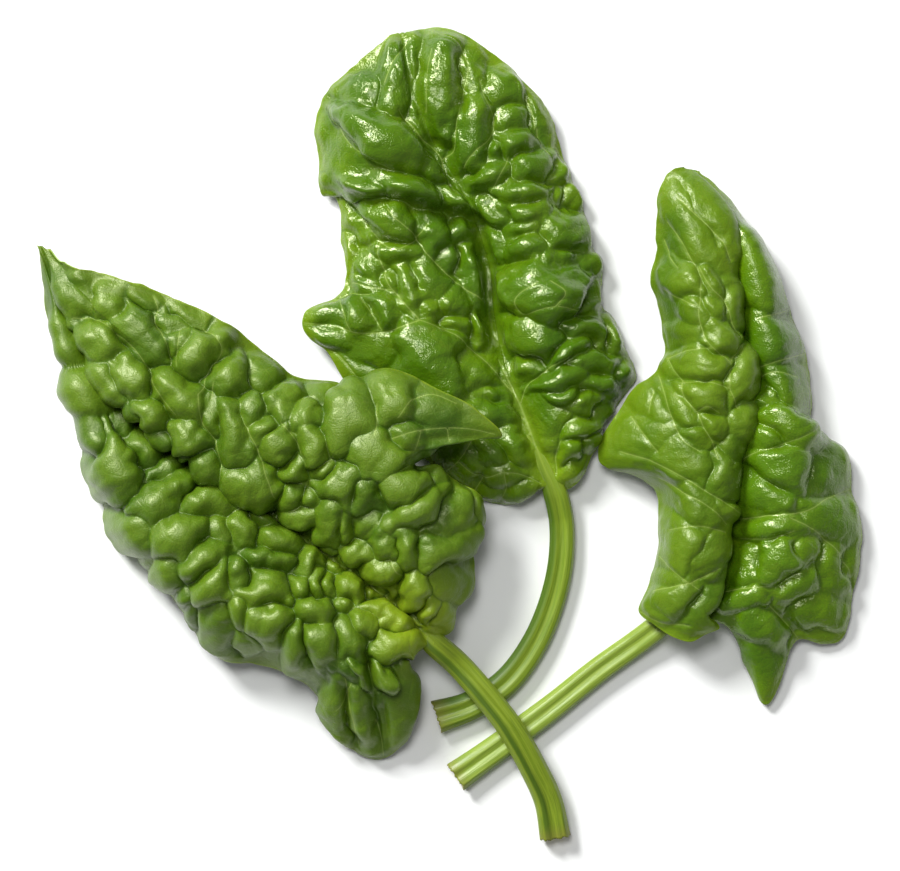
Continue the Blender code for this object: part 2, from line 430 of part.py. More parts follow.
def softened(values):
    """A grid's values averaged with their neighbours two steps to each side, with the border kept."""
    weights = (1 / 9, 2 / 9, 3 / 9, 2 / 9, 1 / 9)
    for _ in range(2):
        padded = np.pad(values, ((2, 2), (0, 0)), mode="edge")
        values = sum(w * padded[i:i + len(values)] for i, w in enumerate(weights)).T
    return values


def quilted_sheet(leaf, rows, columns):
    """The blade's upper face: worked out on a grid FINER times as fine, softened, and read at every FINER-th
    place, so that each point stands for its surroundings."""
    along = np.linspace(0, 1, rows * FINER + 1)
    across = np.linspace(-1, 1, columns * FINER + 1)
    sheet, lift = relief(leaf, along, across)
    points = sheet + sheet_normals(sheet) * softened(lift)[:, :, None]
    points = points[::FINER, ::FINER]
    points[:, :, 2] = np.maximum(points[:, :, 2], LOWEST_BLADE)
    return points


def material(name, colour, roughness):
    """A plain Principled finish."""
    made = bpy.data.materials.new(name)
    made.use_nodes = True
    shader = made.node_tree.nodes["Principled BSDF"]
    shader.inputs["Base Color"].default_value = colour
    shader.inputs["Roughness"].default_value = roughness
    shader.inputs["Metallic"].default_value = 0.0
    return made


def blade(side, leaf, collection, finish):
    """One blade: a grid laid on the quilted sheet, then thickened downwards."""
    rows, columns = leaf["grid"]
    points = quilted_sheet(leaf, rows, columns)
    shape = bmesh.new()
    bmesh.ops.create_grid(shape, x_segments=columns, y_segments=rows, size=1.0)
    for vert in shape.verts:
        row = round((vert.co.y + 1) / 2 * rows)
        column = round((vert.co.x + 1) / 2 * columns)
        vert.co = points[row, column]
    mesh = bpy.data.meshes.new(f"{side}_blade")
    shape.to_mesh(mesh)
    shape.free()
    mesh.shade_smooth()
    mesh.materials.append(finish)
    made = bpy.data.objects.new(f"{side}_blade", mesh)
    collection.objects.link(made)
    split = made.modifiers.new("split", "TRIANGULATE")
    split.quad_method = "SHORTEST_DIAGONAL"
    thicken = made.modifiers.new("thicken", "SOLIDIFY")
    thicken.thickness = BLADE_THICKNESS
    thicken.offset = -1
    return made


def stalk_path(leaf):
    """Middles and scales along a stalk: up to the blade, then on as the rib below its midrib."""
    rib_scales = np.array(RIB_SCALES)
    stalk_scales = np.array(STALK_SCALES)
    along = np.linspace(0, RIB_END, RIB_POINTS)
    scale = np.interp(along / RIB_END, rib_scales[:, 0], rib_scales[:, 1])
    near = smooth_sheet(leaf["guides"], along, np.linspace(-0.4, 0.4, 65))
    rib = near[:, 32].copy()
    beside = np.linalg.norm(near[:, :, :2] - rib[:, None, :2], axis=2)
    covered = beside < (scale * STALK_HALF_WIDTH + BLADE_THICKNESS)[:, None]
    lowest = np.where(covered, near[:, :, 2], np.inf).min(axis=1)
    rib[:, 2] = lowest - BLADE_THICKNESS - SEAT_GAP - scale * STALK_HALF_HEIGHT
    below = STALK_HALF_HEIGHT * math.sin(math.pi * (0.5 - 1 / STALK_SIDES))
    lower = from_plan(np.array(leaf["stalk"], float))
    route = np.concatenate([lower, rib[:1] - [0, 0, below * scale[0]]])
    distance = np.concatenate([[0], np.cumsum(np.linalg.norm(np.diff(route, axis=0), axis=1))])
    distance /= distance[-1]
    where = np.linspace(0, 1, STALK_POINTS)[:-1]
    stem = hermite(distance, route, where)
    stem_scale = np.interp(where, stalk_scales[:, 0], stalk_scales[:, 1])
    stem[:, 2] += below * stem_scale
    return np.concatenate([stem, rib]), np.concatenate([stem_scale, scale])


def stalk_profile(collection):
    """The stalk's section: round below, with a groove between two shoulders on top."""
    outline = bpy.data.curves.new("stalk_section", "CURVE")
    outline.dimensions = "2D"
    line = outline.splines.new("POLY")
    line.points.add(STALK_SIDES - 1)
    for i, point in enumerate(line.points):
        angle = math.tau * (i + 0.5) / STALK_SIDES
        x = STALK_HALF_WIDTH * math.cos(angle)
        y = STALK_HALF_HEIGHT * math.sin(angle)
        y -= STALK_GROOVE * math.exp(-((x / (0.45 * STALK_HALF_WIDTH)) ** 2)) * (y > 0)
        point.co = (x, y, 0, 1)
    line.use_cyclic_u = True
    made = bpy.data.objects.new("stalk_section", outline)
    collection.objects.link(made)
    return made


def stalk(side, leaf, collection, finish, section, floor):
    """One stalk with its rib: the section swept along its path, and cut flat by the table."""
    path, scales = stalk_path(leaf)
    wire = bpy.data.curves.new(f"{side}_path", "CURVE")
    wire.dimensions = "3D"
    wire.twist_mode = "Z_UP"
    line = wire.splines.new("POLY")
    line.points.add(len(path) - 1)
    for point, place, scale in zip(line.points, path, scales):
        point.co = (*place, 1)
        point.radius = scale
    wire.bevel_mode = "OBJECT"
    wire.bevel_object = section
    wire.use_fill_caps = True
    swept = bpy.data.objects.new(f"{side}_path", wire)
    collection.objects.link(swept)
    bpy.context.view_layer.update()
    mesh = bpy.data.meshes.new_from_object(swept.evaluated_get(bpy.context.evaluated_depsgraph_get()))
    shape = bmesh.new()
    shape.from_mesh(mesh)
    bmesh.ops.remove_doubles(shape, verts=shape.verts, dist=0.01 * MM)
    bmesh.ops.recalc_face_normals(shape, faces=shape.faces)
    shape.to_mesh(mesh)
    shape.free()
    mesh.materials.clear()
    mesh.materials.append(finish)
    made = bpy.data.objects.new(f"{side}_stalk", mesh)
    made.matrix_world = swept.matrix_world
    collection.objects.link(made)
    bpy.data.objects.remove(swept)
    cut = made.modifiers.new("table", "BOOLEAN")
    cut.operation = "DIFFERENCE"
    cut.object = floor
    return made


def table_cutter(collection):
    """A slab below the table's surface, which presses the lying stalks flat."""
    thickness = 20 * MM
    bpy.ops.mesh.primitive_cube_add(size=1, location=(0, 0, -thickness / 2), scale=(0.4, 0.4, thickness))
    slab = bpy.context.object
    slab.name = "table_cutter"
    slab.hide_render = True
    slab.display_type = "WIRE"
    for held in slab.users_collection:
        held.objects.unlink(slab)
    collection.objects.link(slab)
    return slab


def main():
    remove_all_objects()
    bunch = bpy.data.collections.new("spinach_bunch")
    helpers = bpy.data.collections.new("cutters")
    bpy.context.scene.collection.children.link(bunch)
    bpy.context.scene.collection.children.link(helpers)
    blade_finish = material("leaf_green", BLADE_COLOUR, 0.35)
    stalk_finish = material("stalk_green", STALK_COLOUR, 0.4)
    floor = table_cutter(helpers)
    section = stalk_profile(helpers)
    for side, leaf in LEAVES.items():
        blade(side, leaf, bunch, blade_finish)
        stalk(side, leaf, bunch, stalk_finish, section, floor)
    bpy.data.objects.remove(section)


main()
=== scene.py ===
"""Looks of a lying bunch of savoy spinach: three quilted blades on ribbed stalks, seen from straight above.

Every blade is a surface of two parameters: how far along the leaf (0 at the stalk, 1 at the tip) and how far
across it (-1 at the left rim, 1 at the right rim). Lengths are in metres, +Z is up.
"""

import logging
import math
from dataclasses import dataclass, field
from enum import Enum
from typing import Any

import bmesh
import bpy
import numpy as np
from numpy.typing import NDArray
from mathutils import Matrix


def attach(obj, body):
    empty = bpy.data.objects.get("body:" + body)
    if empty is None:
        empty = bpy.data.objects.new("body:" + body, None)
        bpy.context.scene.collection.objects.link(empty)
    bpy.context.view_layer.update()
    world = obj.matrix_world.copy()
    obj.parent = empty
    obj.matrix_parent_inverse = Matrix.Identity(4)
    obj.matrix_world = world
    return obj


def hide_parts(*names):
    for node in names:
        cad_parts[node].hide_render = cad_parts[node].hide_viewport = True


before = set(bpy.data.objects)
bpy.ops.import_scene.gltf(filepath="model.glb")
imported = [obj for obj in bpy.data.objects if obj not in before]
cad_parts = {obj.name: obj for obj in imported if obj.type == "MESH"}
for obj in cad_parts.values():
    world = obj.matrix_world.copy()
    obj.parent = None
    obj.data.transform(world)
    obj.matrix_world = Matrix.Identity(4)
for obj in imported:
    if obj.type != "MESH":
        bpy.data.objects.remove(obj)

Array = NDArray[np.float64]
Guides = dict[float, list[tuple[float, float, float, float]]]
Cells = list[tuple[float, float, float, float, float, float]]
Veins = list[tuple[float, list[tuple[float, float]]]]
Ledges = list[tuple[tuple[float, float], tuple[float, float], float, float]]
Colour = tuple[float, float, float]

log = logging.getLogger("spinach")

MM = 0.001

# The quilting and the veins are laid out on a plan seen from 1 m above, in steps of 0.25 mm from its top left.
PLAN_STEP = 0.25 * MM
PLAN_CENTRE = (448.5, 434.5)
EYE_HEIGHT = 1.0

# Random values repeat after this many steps of a noise's lattice.
LATTICE = 64

# The unevenness of the cells' outlines: reach and pitch on the plan of each size of noise.
WARPS = ((4.2, 21.0), (2.2, 8.5))

# How the joined share of neighbouring cells varies over a blade: the noise's pitch on the plan, and the most.
JOIN_PITCH = 17.0
JOIN_MOST = 0.75

# A dome ends between these two distances from its cell's middle, in units of its ellipse.
DOME_END = (1.25, 2.1)

# The section's size along a stalk and along a rib: place along, share of full size.
STALK_SCALES = ((0, 1.05), (0.15, 1.0), (0.6, 0.92), (1, 0.88))
RIB_SCALES = ((0, 0.86), (0.12, 0.58), (0.3, 0.4), (0.6, 0.26), (1, 0.12))

# The rings of a stalk's cut end, each drawn in towards its middle by this share.
CUT_RINGS = (0.96, 0.75, 0.5, 0.28, 0.1)

# How many to a metre the finishes' noises have, from patches to grain, and the net of the finest veins.
CLOUD, MOTTLE, SPECK, GRAIN, NET = 55.0, 210.0, 900.0, 2600.0, 330.0

# A guide is a line along the leaf, at its place across it: how far along it is from base (0) to tip (1), then
# where it shows on the plan, to the right and down, and its height in mm.
LEFT_GUIDES: Guides = {
    -1: [  # left rim
        (0, 430, 648, 12.3), (0.06, 404, 664, 9), (0.12, 415, 700, 6), (0.18, 405, 740, 3.5),
        (0.24, 375, 756, 0.2), (0.3, 340, 737, 3), (0.36, 326, 702, 6), (0.44, 282, 675, 7), (0.52, 232, 656, 7),
        (0.6, 196, 630, 5), (0.68, 155, 578, 2.5), (0.76, 118, 525, 0.2), (0.83, 92, 470, 0.2),
        (0.89, 74, 405, 2), (0.94, 60, 340, 7), (0.98, 40, 286, 10), (1, 38, 246, 12),
    ],
    -0.5: [  # crown of the left half
        (0, 432, 646, 12.4), (0.1, 400, 642, 17), (0.22, 365, 658, 18), (0.35, 305, 634, 20),
        (0.48, 243, 602, 21), (0.6, 188, 562, 21), (0.72, 138, 510, 19), (0.84, 98, 440, 16.5),
        (0.93, 66, 352, 13.5), (1, 39, 246, 12),
    ],
    -0.1: [  # foot of the left half's slope
        (0, 433, 645, 12.4), (0.1, 403, 618, 13), (0.22, 366, 593, 14), (0.35, 321, 562, 14.5),
        (0.48, 272, 525, 14.5), (0.6, 218, 490, 14), (0.72, 170, 455, 12.5), (0.84, 118, 400, 11),
        (0.93, 76, 335, 11), (1, 40, 246, 12),
    ],
    0: [  # midrib
        (0, 434, 644, 12.5), (0.1, 405, 614, 12.5), (0.22, 370, 586, 13), (0.35, 326, 555, 13.5),
        (0.48, 278, 517, 13.5), (0.6, 228, 482, 12.5), (0.72, 182, 444, 10.5), (0.84, 130, 394, 9),
        (0.93, 84, 330, 10), (1, 41, 246, 12),
    ],
    0.12: [  # brow of the right half, which hangs over the midrib towards the tip
        (0, 435, 643, 12.5), (0.1, 408, 608, 14), (0.22, 377, 577, 16), (0.35, 334, 543, 17),
        (0.48, 282, 508, 17.5), (0.6, 223, 480, 18), (0.72, 168, 444, 18), (0.84, 116, 392, 16.5),
        (0.93, 74, 326, 14), (1, 42, 246, 12),
    ],
    0.5: [  # crown of the right half
        (0, 438, 641, 12.3), (0.1, 430, 600, 18), (0.22, 420, 545, 22), (0.35, 395, 480, 25),
        (0.48, 335, 440, 25), (0.6, 270, 425, 23), (0.72, 205, 385, 21), (0.84, 145, 345, 19),
        (0.93, 90, 298, 16), (1, 44, 247, 12),
    ],
    1: [  # right rim, with the lip that hangs over the middle leaf
        (0, 440, 640, 12), (0.03, 454, 630, 11), (0.05, 458, 612, 10), (0.08, 470, 598, 9), (0.12, 476, 570, 8),
        (0.16, 475, 543, 9), (0.2, 484, 515, 11), (0.235, 479, 496, 13), (0.27, 458, 484, 14),
        (0.3, 436, 472, 14), (0.325, 417, 463, 15), (0.35, 433, 449, 17), (0.375, 468, 438, 19),
        (0.395, 501, 436, 20), (0.42, 476, 410, 21.5), (0.46, 434, 388, 22), (0.5, 398, 374, 20),
        (0.53, 374, 375, 18), (0.555, 352, 390, 15), (0.575, 339, 383, 13.5), (0.6, 318, 379, 13),
        (0.635, 294, 373, 14), (0.68, 264, 350, 15), (0.735, 229, 325, 17), (0.79, 194, 307, 18),
        (0.85, 155, 291, 18), (0.91, 98, 272, 17), (0.96, 62, 261, 15), (1, 46, 248, 12),
    ],
}

MIDDLE_GUIDES: Guides = {
    -1: [  # left rim, with the side lobe and the base lobe
        (0, 547, 489, 6.4), (0.05, 533, 493, 3), (0.1, 508, 505, 1.5), (0.16, 478, 498, 1.5), (0.22, 440, 470, 2),
        (0.28, 395, 430, 4), (0.33, 350, 385, 5), (0.37, 328, 350, 5), (0.41, 305, 330, 5),
        (0.435, 304, 315, 5), (0.47, 325, 304, 5), (0.51, 341, 292, 5), (0.56, 347, 270, 4), (0.61, 343, 240, 3),
        (0.655, 341, 208, 2.2), (0.68, 334, 194, 2), (0.7, 322, 194, 2), (0.74, 321, 160, 1.2),
        (0.79, 320, 122, 1.2), (0.84, 330, 89, 2), (0.9, 352, 68, 3.5), (0.95, 374, 48, 5), (1, 398, 33, 5),
    ],
    -0.5: [  # crown of the left half
        (0, 551, 490, 6.4), (0.12, 520, 475, 8), (0.25, 470, 430, 10), (0.38, 420, 355, 11), (0.5, 410, 300, 11),
        (0.6, 405, 245, 10), (0.7, 395, 190, 12), (0.8, 375, 135, 12), (0.9, 382, 80, 9), (1, 400, 34, 5),
    ],
    0: [  # midrib
        (0, 556, 492, 6.4), (0.1, 538, 452, 6.4), (0.2, 520, 405, 6), (0.32, 503, 358, 6), (0.44, 493, 310, 5.5),
        (0.55, 488, 262, 5), (0.65, 470, 207, 5), (0.75, 446, 165, 6), (0.85, 424, 122, 8), (0.93, 410, 80, 8),
        (1, 402, 33, 5),
    ],
    0.5: [  # crown of the right half
        (0, 561, 491, 6.4), (0.12, 572, 440, 9), (0.25, 565, 385, 11), (0.38, 555, 325, 12.5),
        (0.5, 545, 270, 12), (0.6, 532, 215, 11), (0.7, 512, 165, 10), (0.8, 488, 115, 9), (0.9, 455, 70, 8),
        (1, 404, 34, 5),
    ],
    1: [  # right rim
        (0, 566, 490, 6.4), (0.05, 577, 480, 4), (0.09, 588, 463, 3.5), (0.13, 602, 440, 2.5),
        (0.16, 607, 424, 2), (0.19, 622, 405, 1.5), (0.22, 637, 382, 1.5), (0.25, 634, 364, 1.5),
        (0.29, 622, 346, 1.5), (0.33, 614, 328, 1.5), (0.36, 610, 314, 1.5), (0.39, 600, 302, 1.5),
        (0.43, 598, 280, 1.5), (0.47, 599, 262, 1.5), (0.51, 588, 246, 1.5), (0.55, 584, 222, 1.5),
        (0.59, 584, 202, 1.5), (0.63, 573, 184, 1.5), (0.68, 565, 158, 2), (0.74, 554, 125, 3),
        (0.8, 540, 100, 4), (0.86, 512, 72, 4), (0.92, 478, 44, 5), (0.96, 440, 29, 5), (1, 406, 32, 5),
    ],
}

RIGHT_GUIDES: Guides = {
    -1: [  # left rim, from the base lobe that hangs over the stalk
        (0, 652, 626, 7), (0.025, 700, 618, 9), (0.05, 719, 628, 11), (0.075, 703, 636, 11.5),
        (0.1, 690, 641, 11.5), (0.125, 672, 635, 11), (0.15, 655, 624, 10), (0.175, 638, 612, 8),
        (0.21, 648, 580, 6.5), (0.25, 658, 545, 6), (0.3, 658, 512, 6), (0.335, 653, 487, 6.5),
        (0.36, 633, 474, 6.5), (0.39, 606, 467, 6), (0.42, 597, 457, 6), (0.45, 600, 438, 6),
        (0.49, 614, 414, 7), (0.53, 636, 388, 8), (0.57, 658, 368, 8), (0.61, 664, 345, 7), (0.66, 657, 310, 7),
        (0.71, 651, 280, 7), (0.76, 658, 256, 7.5), (0.81, 656, 232, 8), (0.88, 657, 200, 9),
        (0.94, 664, 182, 9.5), (0.975, 674, 172, 9.1), (1, 685, 169.5, 8.6),
    ],
    -0.6: [  # crown of the left half
        (0, 653, 627, 7), (0.05, 700, 618, 13), (0.12, 688, 600, 15), (0.2, 688, 568, 17), (0.3, 694, 510, 18),
        (0.4, 684, 462, 18), (0.5, 692, 420, 18.5), (0.6, 706, 372, 18.5), (0.7, 700, 318, 18),
        (0.8, 698, 262, 17), (0.9, 692, 212, 15), (1, 688, 169.5, 8.6),
    ],
    -0.18: [  # brow of the left half, which hangs over the midrib
        (0, 655, 628, 6.8), (0.05, 700, 610, 11), (0.1, 717, 595, 12), (0.2, 729, 550, 12), (0.3, 734, 500, 12),
        (0.4, 737, 458, 12), (0.48, 749, 425, 12), (0.55, 754, 390, 12), (0.61, 750, 362, 12),
        (0.68, 741, 325, 12), (0.76, 739, 285, 12), (0.84, 739, 250, 12), (0.92, 728, 212, 11.5),
        (1, 692, 170, 8.4),
    ],
    0: [  # midrib, hidden below the brow
        (0, 656, 629, 6.6), (0.1, 692, 598, 6.8), (0.2, 714, 558, 6), (0.3, 722, 512, 5.4), (0.42, 727, 462, 5),
        (0.52, 738, 415, 4.8), (0.6, 742, 375, 4.6), (0.7, 735, 325, 4.6), (0.8, 731, 278, 5),
        (0.9, 720, 225, 6.4), (1, 693, 170, 8.2),
    ],
    0.14: [  # foot of the right half's slope
        (0, 657, 630, 6.6), (0.1, 702, 604, 6.8), (0.2, 728, 565, 6.2), (0.3, 736, 517, 7.5),
        (0.42, 739, 465, 8.5), (0.52, 750, 417, 9), (0.6, 753, 376, 9), (0.7, 745, 322, 9.2), (0.8, 739, 270, 9.6),
        (0.9, 725, 215, 9.5), (1, 694, 170, 8.1),
    ],
    0.55: [  # crown of the right half
        (0, 661, 632, 6.5), (0.1, 722, 615, 9), (0.2, 765, 580, 13), (0.3, 786, 535, 14.5), (0.42, 792, 475, 15),
        (0.52, 788, 425, 14.5), (0.62, 778, 370, 13.5), (0.74, 768, 310, 13), (0.87, 750, 240, 12),
        (1, 698, 171, 8),
    ],
    1: [  # right rim, with the pointed base lobe
        (0, 665, 634, 6.4), (0.03, 700, 614, 5), (0.055, 727, 610, 4.5), (0.075, 741, 626, 3.5),
        (0.1, 746, 658, 2.5), (0.125, 757, 684, 2), (0.145, 766, 703, 1.8), (0.17, 780, 676, 2.4),
        (0.2, 790, 648, 3), (0.225, 799, 640, 3), (0.26, 822, 644, 2.4), (0.29, 843, 639, 2),
        (0.33, 851, 600, 2), (0.37, 857, 565, 2), (0.41, 858, 528, 2), (0.45, 850, 492, 2.3),
        (0.49, 847, 458, 2.8), (0.52, 834, 442, 3.2), (0.55, 815, 428, 3.4), (0.59, 811, 400, 4),
        (0.64, 805, 362, 3.8), (0.7, 796, 330, 3.6), (0.76, 785, 295, 3.8), (0.82, 770, 258, 4.2),
        (0.88, 748, 222, 5.2), (0.94, 725, 192, 6.6), (0.975, 712, 179, 7.4), (1, 701, 172, 8),
    ],
}

# A cell is one puffed bubble between veins: x, y, half length and half width on the plan, its slant in
# degrees, and its share of the leaf's full puff.
LEFT_CELLS: Cells = [
    # right half, from the tip down to the stalk
    (78, 300, 22, 12, -50, 0.5), (108, 306, 18, 12, 60, 0.7), (145, 335, 34, 19, -50, 0.85),
    (143, 303, 14, 9, -30, 0.3), (168, 322, 14, 12, 0, 0.35), (190, 315, 16, 8, -35, 0.25),
    (198, 355, 24, 17, 50, 0.9), (178, 345, 12, 8, 70, 0.5), (105, 340, 24, 11, -45, 0.8),
    (133, 378, 22, 14, -50, 0.9), (152, 415, 17, 14, -50, 0.9), (176, 396, 33, 17, -50, 1.0),
    (190, 440, 20, 15, -45, 0.9), (207, 465, 18, 11, -45, 0.8), (229, 379, 20, 17, 0, 0.9),
    (233, 432, 30, 16, -80, 0.95), (250, 408, 17, 11, -80, 0.7), (262, 378, 18, 15, 0, 0.5),
    (213, 418, 20, 8, -80, 0.5), (252, 484, 27, 20, -45, 1.1), (283, 403, 20, 14, 0, 0.8),
    (265, 428, 14, 11, -75, 0.8), (278, 445, 17, 12, -75, 0.9), (308, 414, 15, 12, 0, 0.8),
    (314, 448, 20, 9, -70, 0.9), (325, 393, 16, 10, 20, 0.5), (294, 467, 15, 9, 40, 0.8),
    (325, 468, 12, 6, 0, 0.5), (348, 425, 27, 20, 60, 1.1), (372, 457, 22, 18, 30, 1.0),
    (345, 483, 22, 17, 0, 1.1), (368, 492, 18, 12, -40, 0.8), (329, 518, 22, 12, 75, 1.0),
    (289, 497, 13, 10, 0, 0.8), (309, 500, 10, 9, 0, 0.6), (298, 515, 20, 8, -10, 0.8),
    (348, 528, 17, 8, -80, 0.8), (368, 525, 12, 9, 0, 0.5), (402, 492, 24, 13, 10, 0.9),
    (415, 510, 27, 10, 35, 0.9), (433, 472, 15, 11, 60, 0.9), (395, 402, 22, 18, 60, 0.9),
    (428, 402, 18, 16, 70, 0.3), (402, 435, 12, 9, 0, 0.5), (357, 548, 14, 10, -10, 0.9),
    (384, 545, 12, 10, 0, 0.8), (385, 569, 16, 11, 0, 0.9), (405, 548, 16, 11, -80, 0.9),
    (443, 547, 28, 11, 30, 0.9), (412, 588, 20, 10, -75, 0.9), (425, 608, 11, 9, 0, 0.6),
    (458, 510, 24, 10, 60, 0.6), (474, 500, 18, 7, -75, 0.4), (448, 585, 18, 12, 0, 0.4),
    (447, 618, 12, 9, 0, 0.4),
    # left half, curling down from the crown in overlapping rolls
    (92, 388, 28, 20, -30, 1.0), (72, 345, 20, 9, -60, 0.6), (145, 447, 20, 15, 0, 0.8),
    (115, 465, 30, 20, -70, 1.0), (92, 440, 20, 8, -60, 0.6), (128, 420, 20, 10, 30, 0.7),
    (172, 464, 20, 9, 25, 0.8), (168, 497, 38, 18, 35, 1.1), (133, 530, 28, 12, -45, 0.9),
    (208, 504, 30, 17, -5, 1.1), (178, 537, 27, 18, 15, 1.1), (168, 573, 16, 13, 0, 0.8),
    (148, 562, 14, 8, -50, 0.5), (243, 530, 19, 11, -60, 0.9), (220, 530, 13, 9, 60, 0.7),
    (260, 520, 15, 8, -10, 0.7), (280, 539, 27, 11, -10, 0.9), (203, 560, 20, 13, 55, 0.95),
    (213, 584, 24, 15, 20, 1.0), (238, 573, 15, 11, 60, 0.9), (268, 560, 28, 9, 2, 0.9),
    (190, 592, 12, 9, 0, 0.7), (200, 612, 12, 6, -80, 0.6), (220, 628, 24, 14, -70, 0.8),
    (243, 612, 14, 8, -80, 0.7), (244, 638, 12, 9, 0, 0.6), (266, 592, 22, 18, 0, 1.0),
    (272, 620, 20, 16, -60, 1.0), (308, 560, 19, 12, 30, 0.9), (299, 585, 14, 9, -60, 0.8),
    (316, 587, 13, 7, -70, 0.7), (314, 611, 20, 14, -20, 1.0), (318, 638, 22, 15, -60, 0.9),
    (295, 641, 21, 13, -75, 0.8), (345, 640, 22, 13, -50, 0.7), (345, 668, 18, 7, -20, 0.5),
    (352, 590, 20, 13, -35, 1.0), (333, 567, 10, 8, 0, 0.7), (329, 588, 11, 6, -60, 0.6),
    (373, 596, 9, 6, 0, 0.5), (388, 614, 22, 12, -15, 0.9), (364, 626, 12, 10, 0, 0.7),
    (344, 610, 10, 7, 0, 0.5), (396, 647, 20, 12, 20, 0.6), (341, 706, 26, 8, -78, 0.75),
    (363, 716, 30, 10, -65, 0.85), (402, 706, 42, 16, 85, 0.5),
    (356, 668, 16, 6, -60, 0.9), (385, 674, 18, 7, -60, 1.1),
]

MIDDLE_CELLS: Cells = [
    # the rounded end, down to the fold across the left half
    (401, 72, 30, 14, 74, 0.9), (438, 88, 44, 21, 86, 1.2),
    (472, 135, 42, 14, 80, 1.0), (386, 141, 50, 13, -40, 1.5), (360, 90, 20, 10, 0, 0.4),
    (340, 150, 30, 14, -60, 0.4), (474, 72, 22, 10, -80, 0.4), (502, 92, 20, 15, -10, 0.8),
    (516, 116, 15, 12, 0, 0.6), (533, 108, 26, 8, -70, 0.5), (515, 145, 21, 12, 20, 0.9),
    (498, 150, 10, 9, 0, 0.6), (528, 166, 18, 14, 0, 0.9), (487, 176, 24, 9, 20, 0.9),
    (524, 191, 24, 9, -8, 0.9), (558, 176, 12, 9, -60, 0.8), (571, 196, 13, 8, -30, 0.8),
    (556, 198, 10, 6, 60, 0.5), (360, 185, 28, 8, -8, 0.8), (410, 193, 30, 9, -18, 1.0),
    (455, 207, 25, 8, -25, 1.0),
    # right half
    (497, 217, 18, 12, 0, 0.8), (528, 212, 16, 9, 0, 0.8), (494, 243, 16, 12, -60, 0.7),
    (528, 248, 17, 11, 20, 0.9), (522, 228, 14, 6, 20, 0.6), (567, 235, 26, 18, 70, 1.1),
    (562, 256, 14, 9, 20, 0.7), (589, 264, 13, 10, -40, 0.9), (592, 302, 17, 12, 60, 0.9),
    (540, 297, 36, 24, -5, 1.4), (530, 335, 26, 22, -60, 1.1), (527, 362, 16, 14, 0, 0.7),
    (585, 330, 22, 13, -20, 1.0), (609, 336, 16, 11, -60, 0.9), (568, 352, 20, 8, 35, 0.8),
    (592, 364, 22, 9, -5, 0.9), (622, 374, 12, 10, -30, 0.8), (598, 385, 18, 9, -5, 0.9),
    (556, 382, 22, 9, 15, 0.8), (562, 396, 17, 7, 10, 0.8), (585, 402, 15, 10, 10, 0.7),
    (545, 418, 24, 17, -60, 0.5), (582, 428, 22, 13, 35, 0.8), (572, 449, 12, 9, 50, 0.7),
    (594, 440, 12, 8, 50, 0.7), (570, 478, 16, 7, 60, 0.4),
    # left half, below the fold
    (388, 222, 30, 12, -42, 1.0), (353, 222, 18, 12, -30, 0.5), (347, 262, 28, 7, 88, 0.6),
    (370, 270, 15, 11, -30, 0.7), (397, 252, 17, 9, 0, 0.8), (432, 238, 20, 15, -45, 1.0),
    (458, 234, 15, 10, 0, 0.9), (450, 257, 13, 10, 0, 0.8), (470, 275, 35, 11, -75, 1.1),
    (427, 280, 16, 12, -40, 0.8), (412, 292, 22, 13, -60, 0.8), (450, 303, 15, 11, -45, 0.9),
    (455, 324, 13, 9, 0, 0.8), (432, 310, 13, 9, -50, 0.6), (476, 323, 17, 8, -85, 0.8),
    (358, 313, 17, 12, -65, 0.9), (385, 313, 20, 12, -60, 0.9), (366, 285, 16, 7, -25, 0.6),
    (392, 283, 10, 6, -60, 0.4), (328, 315, 20, 9, 0, 0.5), (332, 336, 22, 9, -15, 0.5),
    (375, 350, 22, 14, 0, 0.3), (350, 370, 18, 14, 0, 0.3), (428, 358, 34, 25, -35, 1.1),
    (475, 372, 20, 15, -30, 0.6), (490, 393, 16, 9, -10, 0.5), (493, 413, 17, 11, -20, 0.7),
    (512, 447, 15, 10, -30, 0.6), (468, 468, 17, 13, 0, 0.5), (500, 474, 17, 10, 0, 0.5),
    (487, 494, 16, 9, 10, 0.5), (515, 493, 15, 9, 20, 0.5), (492, 452, 13, 8, -20, 0.5),
]

RIGHT_OVER_CELLS: Cells = [
    (690, 230, 40, 12, -60, 0.3), (718, 215, 32, 10, -55, 0.4), (686, 284, 18, 13, -60, 0.8),
    (711, 276, 20, 8, -65, 0.5), (695, 312, 14, 10, -45, 0.5), (714, 312, 13, 9, -60, 0.6),
    (731, 305, 20, 8, -75, 0.6), (721, 338, 23, 14, -60, 0.9), (685, 333, 18, 9, 10, 0.4),
    (703, 365, 26, 16, 0, 0.9), (742, 375, 30, 13, 85, 1.0), (705, 396, 24, 13, -15, 0.9),
    (746, 422, 22, 10, 75, 0.9), (711, 422, 13, 9, -50, 0.7), (682, 412, 26, 10, -50, 0.5),
    (650, 408, 20, 9, -60, 0.4), (733, 447, 14, 9, 60, 0.6), (697, 434, 15, 9, -45, 0.5),
    (640, 440, 26, 14, 10, 0.4), (690, 462, 32, 13, -30, 0.4), (722, 475, 20, 13, -70, 0.8),
    (730, 510, 12, 8, 0, 0.7), (697, 508, 20, 12, -35, 0.4), (678, 547, 24, 16, 80, 0.7),
    (675, 600, 20, 14, 25, 0.7), (666, 575, 12, 10, 0, 0.4), (712, 555, 16, 10, 60, 0.4),
    (702, 608, 18, 11, 40, 0.4),
]

